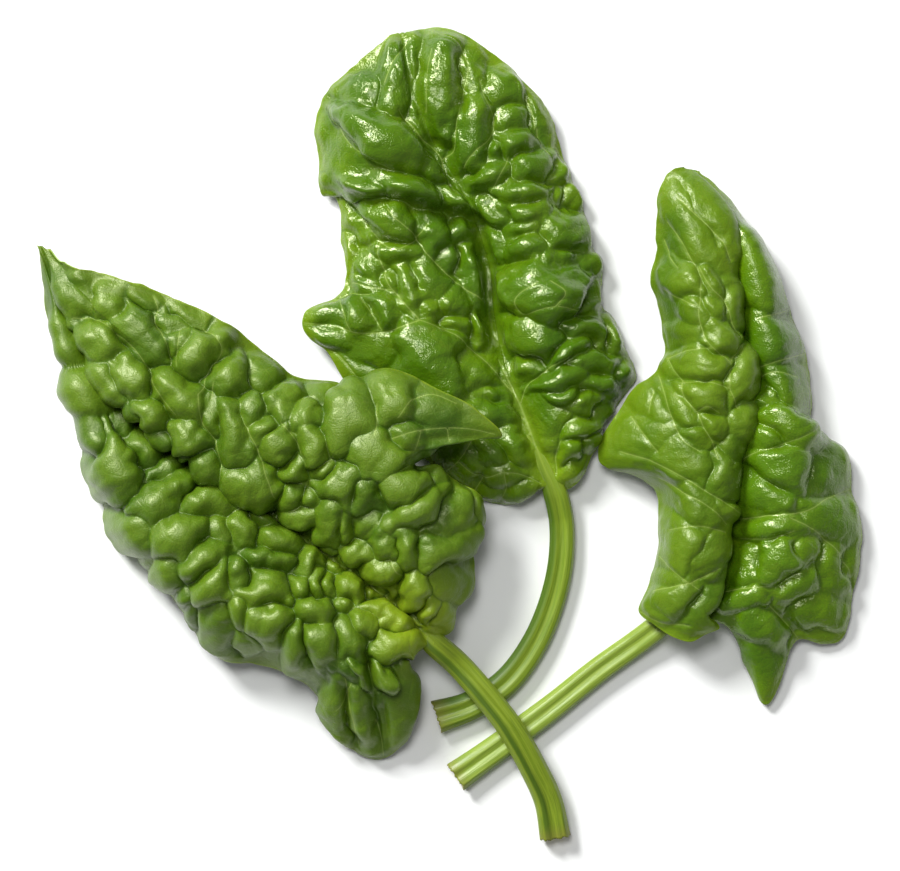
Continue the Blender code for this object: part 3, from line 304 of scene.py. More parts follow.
RIGHT_UNDER_CELLS: Cells = [
    (760, 283, 32, 17, -70, 0.7), (770, 337, 25, 20, -50, 0.7), (792, 387, 28, 12, -60, 0.4),
    (765, 400, 14, 9, 20, 0.5), (790, 425, 28, 17, -30, 0.8), (766, 438, 17, 13, -10, 0.9),
    (783, 468, 28, 20, -20, 1.1), (762, 493, 23, 20, 0, 1.0), (828, 472, 25, 16, 35, 0.6),
    (832, 520, 24, 18, -30, 0.8), (770, 528, 25, 9, 3, 0.9), (782, 555, 27, 15, 60, 1.0),
    (793, 585, 30, 13, 25, 0.8), (737, 568, 20, 17, 0, 0.9), (750, 597, 25, 8, 0, 0.8),
    (832, 575, 26, 12, -75, 0.8), (822, 612, 22, 13, 0, 0.7), (849, 562, 15, 8, -80, 0.5),
    (765, 628, 22, 12, -60, 0.8), (765, 668, 22, 14, 80, 0.3), (820, 640, 25, 7, 0, 0.4),
    (805, 548, 14, 10, -60, 0.6),
]

# A vein is its width in mm and its points on the plan.
LEFT_VEINS: Veins = [
    (0.5, [(432, 640), (415, 622), (400, 608), (380, 592), (360, 577), (340, 562), (325, 552), (310, 545),
           (297, 533), (275, 520), (255, 508), (235, 493), (215, 480)]),
    (0.3, [(75, 318), (95, 320), (110, 330), (130, 343), (142, 358), (150, 372), (155, 385), (165, 400),
           (177, 414)]),
    (0.28, [(198, 397), (201, 419), (212, 435), (220, 452), (223, 474)]),
    (0.28, [(203, 330), (214, 342), (220, 352), (216, 362), (208, 372), (205, 388), (198, 397)]),
    (0.25, [(154, 298), (158, 310), (155, 322), (166, 342), (172, 366)]),
    (0.25, [(180, 335), (178, 350), (180, 366)]),
    (0.3, [(245, 425), (255, 440), (262, 460), (268, 475), (276, 492)]),
    (0.28, [(283, 425), (297, 442), (308, 462)]),
    (0.25, [(327, 443), (332, 460)]),
    (0.25, [(378, 408), (375, 436)]),
    (0.25, [(215, 385), (212, 400)]),
    (0.28, [(392, 556), (402, 572)]),
    (0.3, [(345, 675), (352, 700), (358, 720), (360, 742)]),
    (0.25, [(375, 718), (382, 735), (384, 752)]),
    (0.25, [(340, 700), (348, 690), (352, 680)]),
    (0.3, [(394, 438), (418, 431), (445, 428), (470, 429), (494, 434)]),
    (0.22, [(420, 431), (415, 449)]),
    (0.22, [(447, 428), (450, 441)]),
    (0.25, [(398, 418), (412, 402), (432, 396), (456, 404)]),
]

MIDDLE_VEINS: Veins = [
    (0.7, [(560, 505), (553, 485), (545, 470), (537, 450), (528, 425), (518, 400), (508, 380)]),
    (0.25, [(508, 380), (503, 370), (499, 360)]),
    (0.4, [(512, 392), (490, 368), (470, 350), (445, 333), (419, 321)]),
    (0.34, [(419, 321), (400, 328), (375, 333), (355, 331), (335, 326), (306, 323)]),
    (0.34, [(419, 321), (405, 303), (392, 288), (385, 270), (382, 252), (383, 243), (372, 225), (362, 208)]),
    (0.25, [(392, 290), (375, 289), (355, 284)]),
    (0.25, [(355, 331), (346, 315), (342, 303)]),
    (0.25, [(383, 330), (371, 312), (363, 300)]),
    (0.3, [(478, 300), (455, 285), (440, 270), (425, 255), (415, 238), (405, 225), (392, 208)]),
    (0.22, [(415, 238), (424, 224)]),
    (0.25, [(383, 243), (398, 250), (415, 240)]),
    (0.25, [(447, 192), (442, 175), (441, 160), (432, 148), (420, 140), (408, 125), (395, 112)]),
    (0.25, [(441, 160), (455, 150), (458, 120), (463, 95), (467, 70), (456, 47), (442, 40)]),
    (0.25, [(468, 165), (480, 150), (489, 140), (494, 123), (483, 100), (478, 82)]),
    (0.22, [(426, 112), (428, 82), (433, 55)]),
    (0.25, [(340, 112), (350, 135), (365, 150), (380, 160), (392, 170)]),
    (0.22, [(385, 85), (394, 62), (414, 38)]),
    (0.22, [(523, 98), (530, 115), (532, 130)]),
    (0.22, [(508, 158), (503, 175), (496, 190)]),
    (0.22, [(534, 130), (540, 150), (548, 165)]),
    (0.22, [(541, 285), (528, 300), (531, 312), (552, 308), (568, 312)]),
    (0.22, [(552, 308), (556, 296), (548, 284)]),
    (0.25, [(563, 358), (545, 372), (528, 388), (520, 404)]),
    (0.25, [(472, 440), (462, 456), (448, 468), (436, 476)]),
    (0.25, [(462, 458), (485, 474), (505, 470), (528, 477), (540, 483)]),
    (0.22, [(485, 474), (474, 492)]),
    (0.22, [(505, 470), (507, 486), (500, 500)]),
    (0.25, [(562, 440), (556, 455), (557, 475)]),
    (0.22, [(320, 342), (338, 352), (356, 372), (366, 386)]),
    (0.22, [(330, 305), (350, 296), (372, 296)]),
]

RIGHT_OVER_VEINS: Veins = [
    (0.34, [(680, 200), (695, 215), (710, 228), (722, 242), (731, 260)]),
    (0.3, [(668, 222), (685, 245), (692, 260), (700, 275), (701, 292), (700, 318), (708, 342), (720, 355),
           (728, 363), (728, 386), (736, 408)]),
    (0.25, [(668, 290), (685, 300), (698, 306)]),
    (0.25, [(700, 268), (712, 290), (722, 300), (730, 322), (738, 338)]),
    (0.25, [(672, 360), (690, 351), (712, 348)]),
    (0.25, [(728, 363), (741, 345)]),
    (0.25, [(672, 360), (680, 376), (685, 383), (705, 382), (728, 388)]),
    (0.3, [(685, 383), (686, 398), (697, 412), (704, 428), (712, 442), (716, 458)]),
    (0.22, [(697, 412), (706, 406), (718, 412)]),
    (0.3, [(660, 378), (668, 400), (673, 420), (683, 440), (700, 452)]),
    (0.25, [(655, 392), (650, 412)]),
    (0.25, [(632, 418), (648, 438), (658, 452)]),
    (0.3, [(622, 452), (650, 460), (676, 472), (700, 488), (722, 502), (732, 512)]),
    (0.25, [(658, 478), (688, 494), (712, 510), (726, 524)]),
    (0.25, [(676, 530), (700, 526), (724, 532)]),
    (0.25, [(664, 558), (680, 575), (700, 590)]),
    (0.3, [(656, 592), (680, 585), (700, 578), (718, 568)]),
    (0.25, [(640, 612), (664, 622), (690, 624)]),
    (0.22, [(664, 240), (676, 262), (682, 268)]),
]

RIGHT_UNDER_VEINS: Veins = [
    (0.35, [(742, 519), (775, 515), (800, 512), (822, 500), (846, 490)]),
    (0.3, [(790, 518), (812, 530), (832, 550), (846, 572), (850, 590)]),
    (0.25, [(742, 462), (768, 451), (792, 440), (812, 430)]),
    (0.28, [(756, 369), (780, 360), (799, 355)]),
    (0.25, [(760, 318), (782, 312)]),
    (0.25, [(720, 595), (742, 590), (768, 584)]),
    (0.25, [(770, 606), (786, 624), (800, 640)]),
    (0.25, [(756, 380), (775, 372), (792, 378)]),
    (0.25, [(745, 538), (775, 537), (792, 530)]),
    (0.25, [(806, 630), (822, 626), (842, 636)]),
]

# A ledge is the edge of a fold: the plan points of its two ends, its height in mm and how far it reaches back.
MIDDLE_LEDGES: Ledges = [((322, 178), (492, 226), 3.3, 9.0)]
RIGHT_LEDGES: Ledges = [((822, 436), (752, 376), 2.2, 10.0)]

# A pit is an ellipse on the plan that is pressed in: x, y, half length, half width, slant and depth in mm.
LEFT_PITS: Cells = [
    (371, 669, 15, 6, -60, 3.8), (386, 715, 30, 3, -80, 1.2), (352, 712, 26, 3.5, -70, 1.4),
    (118, 400, 30, 9, -50, 0.8), (300, 532, 34, 5, -35, 1.2), (450, 438, 44, 5, 3, 1.1),
]
MIDDLE_PITS: Cells = [
    (487, 270, 44, 9, -82, 3.2), (437, 143, 12, 7, 0, 1.8), (420, 172, 14, 6, -30, 1.2),
    (520, 262, 26, 6, 20, 1.0), (560, 205, 30, 6, -40, 0.8), (496, 335, 32, 8, -62, 2.8),
]


def hermite(knots: Array, values: Array, at: Array) -> Array:
    """Reads a smooth line through values: each span is a cubic, its slopes weighted means of its neighbours'.

    Args:
        knots: where the values stand, rising.
        values: the values, along the first axis.
        at: the places to read.

    Returns:
        The line's values at those places, along the first axis.
    """
    wide = (-1,) + (1,) * (values.ndim - 1)
    spans = np.diff(knots).reshape(wide)
    slopes = np.diff(values, axis=0) / spans
    inner = (slopes[:-1] * spans[1:] + slopes[1:] * spans[:-1]) / (spans[1:] + spans[:-1])
    tangents = np.concatenate([slopes[:1], inner, slopes[-1:]])
    i = np.clip(np.searchsorted(knots, at, side="right") - 1, 0, len(knots) - 2)
    q = ((at - knots[i]) / (knots[i + 1] - knots[i])).reshape(wide)
    return (
        values[i] * (2 * q**3 - 3 * q**2 + 1)
        + spans[i] * tangents[i] * (q**3 - 2 * q**2 + q)
        + values[i + 1] * (3 * q**2 - 2 * q**3)
        + spans[i] * tangents[i + 1] * (q**3 - q**2)
    )


def smoothstep(low: float, high: float, x: Array) -> Array:
    """Rises from 0 at low to 1 at high along 3t² - 2t³."""
    t = np.clip((x - low) / (high - low), 0.0, 1.0)
    return t * t * (3.0 - 2.0 * t)


def unit(vectors: Array) -> Array:
    """Vectors along the last axis, each divided by its length."""
    return vectors / np.maximum(np.linalg.norm(vectors, axis=-1, keepdims=True), 1e-12)


def walked(steps: Array) -> Array:
    """How far a row of steps has come before the first of them and after each, one row for each row given."""
    start = np.zeros((*steps.shape[:-1], 1))
    return np.concatenate([start, np.cumsum(steps, axis=-1)], axis=-1)


def in_ellipse(x: Array, y: Array, ellipse: list[float]) -> tuple[Array, Array]:
    """Places on the plan in units of an ellipse's half length and half width.

    Args:
        x: places on the plan, to the right.
        y: places on the plan, down.
        ellipse: its middle's x and y, half length, half width and slant in degrees.

    Returns:
        The places along its length and along its width.
    """
    middle_x, middle_y, half_length, half_width, slant = ellipse
    turn = math.radians(slant)
    right, down = x - middle_x, y - middle_y
    lengthways = (right * math.cos(turn) - down * math.sin(turn)) / half_length
    sideways = (right * math.sin(turn) + down * math.cos(turn)) / half_width
    return lengthways, sideways


def lattice_noise(x: Array, y: Array, pitch: float, seed: int) -> Array:
    """Smooth noise from -1 to 1: random values on a square lattice, blended by smoothstep weights.

    Args:
        x: first coordinate.
        y: second coordinate, in the same unit.
        pitch: the lattice's pitch in that unit.
        seed: which random table to use.

    Returns:
        The noise, in the shape of x.
    """
    table = np.random.default_rng(seed).uniform(-1.0, 1.0, (LATTICE, LATTICE))
    fx, fy = x / pitch, y / pitch
    ix, iy = np.floor(fx).astype(int), np.floor(fy).astype(int)
    tx, ty = smoothstep(0.0, 1.0, fx - ix), smoothstep(0.0, 1.0, fy - iy)
    left, right, upper, lower = ix % LATTICE, (ix + 1) % LATTICE, iy % LATTICE, (iy + 1) % LATTICE
    low = table[left, upper] * (1 - tx) + table[right, upper] * tx
    high = table[left, lower] * (1 - tx) + table[right, lower] * tx
    return low * (1 - ty) + high * ty


def blur(values: Array, passes: int) -> Array:
    """Softens a grid: each pass is a 1-2-1 mean along both axes, with the border kept."""
    soft = values.copy()
    for _ in range(passes):
        soft[1:-1] = 0.25 * soft[:-2] + 0.5 * soft[1:-1] + 0.25 * soft[2:]
        soft[:, 1:-1] = 0.25 * soft[:, :-2] + 0.5 * soft[:, 1:-1] + 0.25 * soft[:, 2:]
    return soft


def from_plan(table: Array) -> Array:
    """Points in metres from rows of plan x, plan y and height in mm."""
    height = table[:, 2] * MM
    scale = PLAN_STEP * (1 - height / EYE_HEIGHT)
    return np.stack([(table[:, 0] - PLAN_CENTRE[0]) * scale, (PLAN_CENTRE[1] - table[:, 1]) * scale, height], 1)


def plan_places(points: Array) -> tuple[Array, Array]:
    """Where points show on the plan: x to the right and y down, in plan steps, as seen from EYE_HEIGHT."""
    seen = points[..., :2] * (EYE_HEIGHT / (EYE_HEIGHT - points[..., 2:])) / PLAN_STEP
    return PLAN_CENTRE[0] + seen[..., 0], PLAN_CENTRE[1] - seen[..., 1]


@dataclass(frozen=True)
class Puffs:
    """What the cells make of each place of a blade."""

    height: Array
    crease: Array
    tone: Array

    @staticmethod
    def of(cells: Cells, x: Array, y: Array, width: float, power: float, joined: Array) -> "Puffs":
        """Works out the cells' domes.

        Each cell is an ellipse. A place belongs to the cell whose ellipse it is nearest to in units of that
        ellipse. The dome rises from the crease, where two cells are equally near, as (1 - (1 - t)²)^power, and
        sinks away outside the ellipse. The crease lies at the joined share of the two cells' mean height.

        Args:
            cells: x, y, half length, half width, slant and height of each.
            x: places on the plan, to the right.
            y: places on the plan, down.
            width: share of the way between two cells over which a dome rises.
            power: below 1 makes it rise steeply from the crease.
            joined: how much neighbours are joined at each place, 0 to 1.

        Returns:
            The height as a share of the full puff, the nearness to a crease (0 in it), and each cell's own tone.
        """
        nearest = np.full(x.shape, 9.0)
        second = np.full(x.shape, 9.0)
        share = np.zeros(x.shape)
        next_share = np.zeros(x.shape)
        tone = np.zeros(x.shape)
        for i, (*ellipse, height) in enumerate(cells):
            reach = np.hypot(*in_ellipse(x, y, ellipse))
            closer = reach < nearest
            next_share = np.where(closer, share, np.where(reach < second, height, next_share))
            second = np.where(closer, nearest, np.minimum(second, reach))
            share = np.where(closer, height, share)
            tone = np.where(closer, math.sin(12.9898 * i + 4.1), tone)
            nearest = np.where(closer, reach, nearest)
        parted = (second - nearest) / (second + nearest)
        rise = np.clip(parted / width, 0.0, 1.0)
        dome = (1 - (1 - rise) ** 2) ** power * (1 - 0.3 * np.minimum(nearest, 1.0) ** 2)
        inside = 1 - smoothstep(*DOME_END, nearest)
        share = share + (next_share - share) * 0.5 * np.exp(-((parted / 0.15) ** 2))
        crease = parted + 0.5 * smoothstep(1.5, 2.1, nearest) + 0.12 * joined
        return Puffs(share * (joined + (1 - joined) * dome) * inside, crease, tone * inside)

    def or_else(self, other: "Puffs", here: NDArray[np.bool_]) -> "Puffs":
        """These puffs where here is true, and the other ones elsewhere."""
        return Puffs(
            np.where(here, self.height, other.height),
            np.where(here, self.crease, other.crease),
            np.where(here, self.tone, other.tone),
        )


def vein_distance(veins: Veins, x: Array, y: Array) -> Array:
    """How many of its own widths each place is from the nearest vein, positive on one side, negative on the other.

    It is the least distance to any of the straight pieces between a vein's points, over that vein's width. The
    change of sign lets a line much thinner than the mesh's steps be drawn where the value passes through 0.

    Args:
        veins: width in mm and points of each.
        x: places on the plan, to the right.
        y: places on the plan, down.

    Returns:
        The signed distance in vein widths.
    """
    best = np.full(x.shape, 20.0)
    for width, points in veins:
        route = smooth_route(points)
        length = walked(np.hypot(*np.diff(route, axis=0).T))
        for (start_x, start_y), (end_x, end_y), gone in zip(route[:-1], route[1:], length[:-1] / length[-1]):
            run_x, run_y = end_x - start_x, end_y - start_y
            t = ((x - start_x) * run_x + (y - start_y) * run_y) / (run_x * run_x + run_y * run_y)
            t = np.clip(t, 0.0, 1.0)
            off_x, off_y = x - start_x - t * run_x, y - start_y - t * run_y
            taper = 1.0 - 0.45 * gone
            gap = np.hypot(off_x, off_y) * PLAN_STEP / (width * taper * MM)
            side = np.where(off_x * run_y - off_y * run_x < 0, -1.0, 1.0)
            best = np.where(gap < np.abs(best), gap * side, best)
    return best


def smooth_route(points: list[tuple[float, float]]) -> Array:
    """Points on a smooth line through the given ones, about four to each span."""
    table = np.array(points, float)
    if len(table) < 3:
        return table
    gone = walked(np.hypot(*np.diff(table, axis=0).T))
    return hermite(gone, table, np.linspace(0, gone[-1], 4 * len(table)))


def ledge_lift(ledges: Ledges, x: Array, y: Array) -> Array:
    """How much the folds lift each place: a smooth step 1.5 mm wide at the ledge, sinking away behind it."""
    lift = np.zeros(x.shape)
    for (start_x, start_y), (end_x, end_y), height, reach in ledges:
        length = math.hypot(end_x - start_x, end_y - start_y)
        run_x, run_y = (end_x - start_x) / length, (end_y - start_y) / length
        along = ((x - start_x) * run_x + (y - start_y) * run_y) / length
        behind = ((x - start_x) * run_y - (y - start_y) * run_x) * PLAN_STEP
        ends = np.clip(np.minimum(along, 1 - along) / 0.15, 0.0, 1.0)
        step = smoothstep(0.0, 1.5 * MM, behind)
        lift += height * MM * ends * step * np.exp(-np.maximum(behind, 0.0) / (reach * MM))
    return lift


class Gloss(Enum):
    """How wet a leaf's skin is: roughness of the skin, then weight and roughness of the film on it."""

    SATIN = (0.31, 0.05, 0.2)
    MOIST = (0.25, 0.12, 0.16)
    WET = (0.11, 0.2, 0.1)


@dataclass(frozen=True)
class Relief:
    """The upper face of a blade on its grid, and what each of its places is like."""

    points: Array
    normals: Array
    chart: Array
    marks: dict[str, Array]


@dataclass
class Leaf:
    """One leaf's form: where its blade runs and how it is quilted.

    Attributes:
        name: the start of its nodes' names.
        guides: lines along the blade by their place across it.
        cells: those of the part that hangs over, then those of the rest. So are veins and ledges.
        puff: how far a full cell rises.
        ruffle: how far the rims wave up and down, in waves of ruffle_pitch.
        seed: the first number of the leaf's noises.
        over: the part left of this place across hangs over the rest.
        pits: where the blade is pressed in.
        dome_width: share of the way between two cells over which a dome rises.
        dome_power: below 1 makes it rise steeply from the crease.
        softness: how many passes of blur the quilting gets.
        join: how much neighbouring cells are joined, with join_spread as its variation.
        bend: how uneven the cells' outlines are.
        swell: how far the domes swell out over their creases.
        sink: how deep the creases are cut in, over crease_width.
        vein_sink: how deep the veins are cut in.
        lobing: height in mm of the lumps on the cells.
        nibble: how uneven the margin is.
        tuck: how far the blade's foot is bent down beside the stalk.
        rim_share: what is left of the quilting at the rim, from where it comes back over rim_fade.
        lowest: no part of the upper face is nearer the table.
        highest: what rises above it is lowered by the share flatten of the excess.
    """

    name: str
    guides: Guides
    cells: tuple[Cells, Cells]
    veins: tuple[Veins, Veins]
    ledges: tuple[Ledges, Ledges]
    puff: float
    ruffle: float
    seed: int
    over: float = -2.0
    pits: Cells = field(default_factory=list)
    dome_width: float = 0.7
    dome_power: float = 0.9
    softness: int = 3
    join: float = 0.3
    join_spread: float = 0.45
    bend: float = 1.0
    swell: float = 0.3 * MM
    sink: float = 0.2 * MM
    crease_width: float = 0.06
    vein_sink: float = 0.25 * MM
    lobing: float = 0.5
    nibble: float = 0.9 * MM
    tuck: float = 2.2 * MM
    rim_share: float = 0.45
    rim_fade: float = 3.0 * MM
    ruffle_pitch: float = 7.0 * MM
    lowest: float = 0.75 * MM
    highest: float = 27.5 * MM
    flatten: float = 0.5

    def sheet(self, along: Array, across: Array) -> Array:
        """The blade before it is quilted: a smooth surface through the guides.

        Args:
            along: places along the leaf.
            across: places across it.

        Returns:
            Points [along, across].
        """
        lines = []
        for guide in self.guides.values():
            table = np.array(guide, float)
            lines.append(hermite(table[:, 0], from_plan(table[:, 1:]), along))
        return hermite(np.array(list(self.guides), float), np.stack(lines), across).transpose(1, 0, 2)

    @staticmethod
    def sheet_normals(points: Array) -> Array:
        """Unit normals on the upper side: the cross product of the across and along directions."""
        return unit(np.cross(np.gradient(points, axis=1), np.gradient(points, axis=0)))

    @staticmethod
    def flat_chart(points: Array) -> tuple[Array, Array]:
        """Lengths walked on the sheet: along the midrib from the base, and across from it, left negative."""
        middle = points.shape[1] // 2
        along = walked(np.linalg.norm(np.diff(points[:, middle], axis=0), axis=1))
        across = walked(np.linalg.norm(np.diff(points, axis=1), axis=2))
        across -= across[:, middle : middle + 1]
        return np.broadcast_to(along[:, None], across.shape).copy(), across

    def relief(self, rows: int, columns: int) -> Relief:
        """Raises the sheet along its normals: cells with lumps, folds, pits, sunk veins and a ruffled rim.

        Args:
            rows: steps along the leaf.
            columns: steps across it, even.

        Returns:
            The upper face on a grid of rows + 1 by columns + 1 points.
        """
        along = np.linspace(0, 1, rows + 1)
        across = self.even_places(columns)
        sheet = self.sheet(along, across)
        normals = self.sheet_normals(sheet)
        run, reach = self.flat_chart(sheet)
        rim = np.minimum(reach - reach[:, :1], reach[:, -1:] - reach)
        sheet = self.nibbled(sheet, run, rim, across)
        x, y = plan_places(sheet)
        puffs, vein, fold = self.quilting(x, y, np.broadcast_to(across < self.over, x.shape))
        calm = self.rim_share + (1 - self.rim_share) * np.clip(rim / self.rim_fade, 0, 1)
        calm = calm * smoothstep(0.0, 6 * MM, run) * (0.45 + 0.55 * smoothstep(0.0, 3 * MM, np.abs(reach)))
        ruffle = self.ruffle * np.abs(across) ** 4 * lattice_noise(
            run, np.sign(across) * 30 * MM, self.ruffle_pitch, self.seed + 9
        )
        dome = puffs.height * calm
        inner = np.clip(rim / (2 * MM), 0, 1)
        lift = self.puff * dome + fold + ruffle - self.pitted(x, y) * inner
        crease = np.exp(-((puffs.crease / self.crease_width) ** 2))
        lift = blur(lift, self.softness) - self.sink * crease * inner
        lift -= self.vein_sink * np.exp(-((np.abs(vein) / 2.0) ** 2)) * inner
        lift = blur(lift + self.small_relief(x * PLAN_STEP, y * PLAN_STEP, dome), 1)
        points = sheet + normals * lift[:, :, None]
        bulged = unit(blur(self.sheet_normals(points), 3))
        free = smoothstep(1.5 * MM, 6 * MM, np.abs(reach))
        points = points + bulged * (self.swell * blur(np.sqrt(dome), 3) * inner * free)[:, :, None]
        points[:, :, 2] -= self.tuck * np.exp(-((along / 0.02) ** 2))[:, None] * np.abs(across)
        points[:, :, 2] -= self.flatten * np.maximum(points[:, :, 2] - self.highest, 0.0)
        points[:, :, 2] = np.maximum(points[:, :, 2], self.lowest)
        marks = {
            "crown": dome,
            "crease": puffs.crease,
            "tone": puffs.tone,
            "vein_side": np.clip(vein, -6.0, 6.0),
            "vein": np.minimum(np.abs(vein), 6.0),
            "rim": np.clip(rim / (6 * MM), 0.0, 1.0),
            "low": np.clip(-self.hollow(points[:, :, 2]) / (1.5 * MM), 0.0, 1.0),
            "along": np.broadcast_to(along[:, None], x.shape),
            "beside": np.clip(np.abs(reach) / (40 * MM), 0.0, 1.0),
        }
        return Relief(points, unit(normals + bulged), np.stack([run, reach], axis=2), marks)

    def quilting(self, x: Array, y: Array, over: NDArray[np.bool_]) -> tuple[Puffs, Array, Array]:
        """What the cells, the veins and the folds make of each place.

        Args:
            x: places on the plan, to the right.
            y: places on the plan, down.
            over: whether each is in the part that hangs over.

        Returns:
            The puffs, the signed distance from a vein in vein widths, and the folds' lift in metres.
        """
        warped = x + self.warp(x, y, 2), y + self.warp(x, y, 7)
        uneven = lattice_noise(x, y, JOIN_PITCH, self.seed + 30)
        joined = np.clip(self.join + self.join_spread * uneven, 0.0, JOIN_MOST)
        first, rest = (Puffs.of(cells, *warped, self.dome_width, self.dome_power, joined) for cells in self.cells)
        vein = np.where(over, *(vein_distance(veins, x, y) for veins in self.veins))
        fold = np.where(over, *(ledge_lift(ledges, *warped) for ledges in self.ledges))
        return first.or_else(rest, over), vein, fold

    def warp(self, x: Array, y: Array, turn: int) -> Array:
        """How far each place is moved on the plan so that the cells' outlines are uneven: noise of two sizes."""
        noises = enumerate(WARPS, self.seed + turn)
        return sum(reach * self.bend * lattice_noise(x, y, pitch, seed) for seed, (reach, pitch) in noises)

    def pitted(self, x: Array, y: Array) -> Array:
        """How deep each place lies in a pit: e to the minus square of its distance in units of its ellipse."""
        depth = np.zeros(x.shape)
        for *ellipse, deep in self.pits:
            lengthways, sideways = in_ellipse(x, y, ellipse)
            depth += deep * MM * np.exp(-(lengthways**2 + sideways**2))
        return depth

    def small_relief(self, x: Array, y: Array, dome: Array) -> Array:
        """Lumps a few millimetres wide, stronger on the cells' crowns, over dents and wrinkles of smaller sizes.

        Args:
            x: places to the right, in metres.
            y: places down.
            dome: how high each place is on its cell.

        Returns:
            The lift in metres.
        """
        bent_x = x + 1.6 * MM * lattice_noise(x, y, 4.7 * MM, self.seed + 13)
        bent_y = y + 1.6 * MM * lattice_noise(x, y, 4.7 * MM, self.seed + 14)
        strength = 0.35 + 0.65 * np.clip(dome, 0, 1.2)
        lumps = lattice_noise(bent_x, bent_y, 4.1 * MM, self.seed + 15)
        lumps = lumps + 0.3 * lattice_noise(bent_y, bent_x, 2.1 * MM, self.seed + 16)
        lift = self.lobing * MM * lumps * strength
        lift -= 0.3 * self.lobing * MM * np.exp(-((lumps / 0.14) ** 2)) * strength
        lift += 0.07 * MM * lattice_noise(bent_x, y, 1.3 * MM, self.seed + 17)
        return lift + 0.04 * MM * lattice_noise(x, bent_y, 0.7 * MM, self.seed + 18)

    def nibbled(self, sheet: Array, run: Array, rim: Array, across: Array) -> Array:
        """The sheet with an uneven margin: its rims are moved outwards and inwards by up to half a millimetre.

        Args:
            sheet: points [along, across].
            run: lengths walked along it.
            rim: distance of each place from the nearer rim.
            across: places across.

        Returns:
            The moved points.
        """
        outward = unit(np.gradient(sheet, axis=1)) * np.sign(across)[None, :, None]
        side = np.sign(across)[None, :] * 50 * MM + np.zeros_like(run)
        wave = 0.55 * lattice_noise(run, side, 4.6 * MM, self.seed + 19)
        wave += 0.3 * lattice_noise(run, side, 1.9 * MM, self.seed + 20)
        return sheet + outward * (wave * self.nibble * np.exp(-rim / (2.0 * MM)))[:, :, None]

    def even_places(self, columns: int) -> Array:
        """Places across, closer together where the guides lie closer, so that the mesh's steps are alike.

        Args:
            columns: how many steps, half of them on each side of the midrib.

        Returns:
            Places from -1 to 1, with 0 in the middle.
        """
        sides = []
        for start, end in ((-1.0, 0.0), (0.0, 1.0)):
            places = np.linspace(start, end, 161)
            sheet = self.sheet(np.linspace(0.05, 0.95, 40), places)
            gone = walked(np.linalg.norm(np.diff(sheet, axis=1), axis=2).mean(axis=0))
            sides.append(np.interp(np.linspace(0, gone[-1], columns // 2 + 1), gone, places))
        return np.concatenate([sides[0], sides[1][1:]])

    @staticmethod
    def hollow(height: Array) -> Array:
        """How far each place lies above (positive) or below the mean of its wider surroundings."""
        return height - blur(height, 100)


@dataclass
class Blade:
    """A blade's two closed meshes, one on each side of the midrib.

    Each has the relief above, a coarser copy of it below, and a rim between them.
    """

    leaf: Leaf
    uppers: tuple[bpy.types.Material, bpy.types.Material]
    under: bpy.types.Material
    edge: bpy.types.Material
    thickness: float = 0.5 * MM
    rows: int = 440
    columns: int = 352

    def build(self) -> list[bpy.types.Object]:
        """Works the relief out once and makes both halves from it.

        Returns:
            The two pieces, at the origin.
        """
        relief = self.leaf.relief(self.rows, self.columns)
        middle = self.columns // 2
        sides = (("a", slice(0, middle + 1)), ("b", slice(middle, None)))
        return [self.half(relief, letter, span) for letter, span in sides]

    def half(self, relief: Relief, letter: str, span: slice) -> bpy.types.Object:
        """Makes one half.

        The lower face takes every second point of the upper one, moved against the sheet's normals by the
        thickness, which thins to six tenths at the rim. Around the border, each step of the lower face meets two
        steps of the upper one in a five-sided face.

        Args:
            relief: the whole blade's upper face.
            letter: which half, for the names.
            span: the half's columns.

        Returns:
            The piece.
        """
        upper = relief.points[:, span]
        rows, columns = upper.shape[:2]
        thickness = self.thickness * (0.6 + 0.4 * relief.marks["rim"][:, span, None])
        lower = (upper - relief.normals[:, span] * thickness)[::2, ::2]
        top_ids = np.arange(rows * columns).reshape(rows, columns)
        low_ids = rows * columns + np.arange(lower.shape[0] * lower.shape[1]).reshape(lower.shape[:2])
        ring, low_ring = border(top_ids), border(low_ids)
        side = np.stack(
            [ring[::2], low_ring, np.roll(low_ring, -1), np.roll(ring[::2], -1), ring[1::2]], axis=1
        )
        top, bottom = squares(top_ids), squares(low_ids)[:, ::-1]
        points = np.concatenate([upper.reshape(-1, 3), lower.reshape(-1, 3)])
        mesh = mesh_of(f"{self.leaf.name}_blade_{letter}", points, [top, bottom, side])
        slots = np.repeat([0, 1, 2], [len(top), len(bottom), len(side)]).astype(np.int32)
        mesh.polygons.foreach_set("material_index", slots)
        for name, values in relief.marks.items():
            part = values[:, span]
            spread = np.concatenate([part.ravel(), part[::2, ::2].ravel()]).astype(np.float32)
            mesh.attributes.new(name, "FLOAT", "POINT").data.foreach_set("value", spread)
        chart = relief.chart[:, span] * 10.0
        chart = np.concatenate([chart.reshape(-1, 2), chart[::2, ::2].reshape(-1, 2)]).astype(np.float32)
        corners = np.concatenate([top.ravel(), bottom.ravel(), side.ravel()])
        mesh.uv_layers.new(name="UVMap").data.foreach_set("uv", chart[corners].ravel())
        for finish in (self.uppers["ab".index(letter)], self.under, self.edge):
            mesh.materials.append(finish)
        return placed(mesh, f"{self.leaf.name}_blade", letter)


def squares(ids: NDArray[np.int64]) -> NDArray[np.int64]:
    """The four-sided faces between neighbours of a grid of vertex numbers."""
    faces = np.stack([ids[:-1, :-1], ids[:-1, 1:], ids[1:, 1:], ids[1:, :-1]], axis=2)
    return faces.reshape(-1, 4)


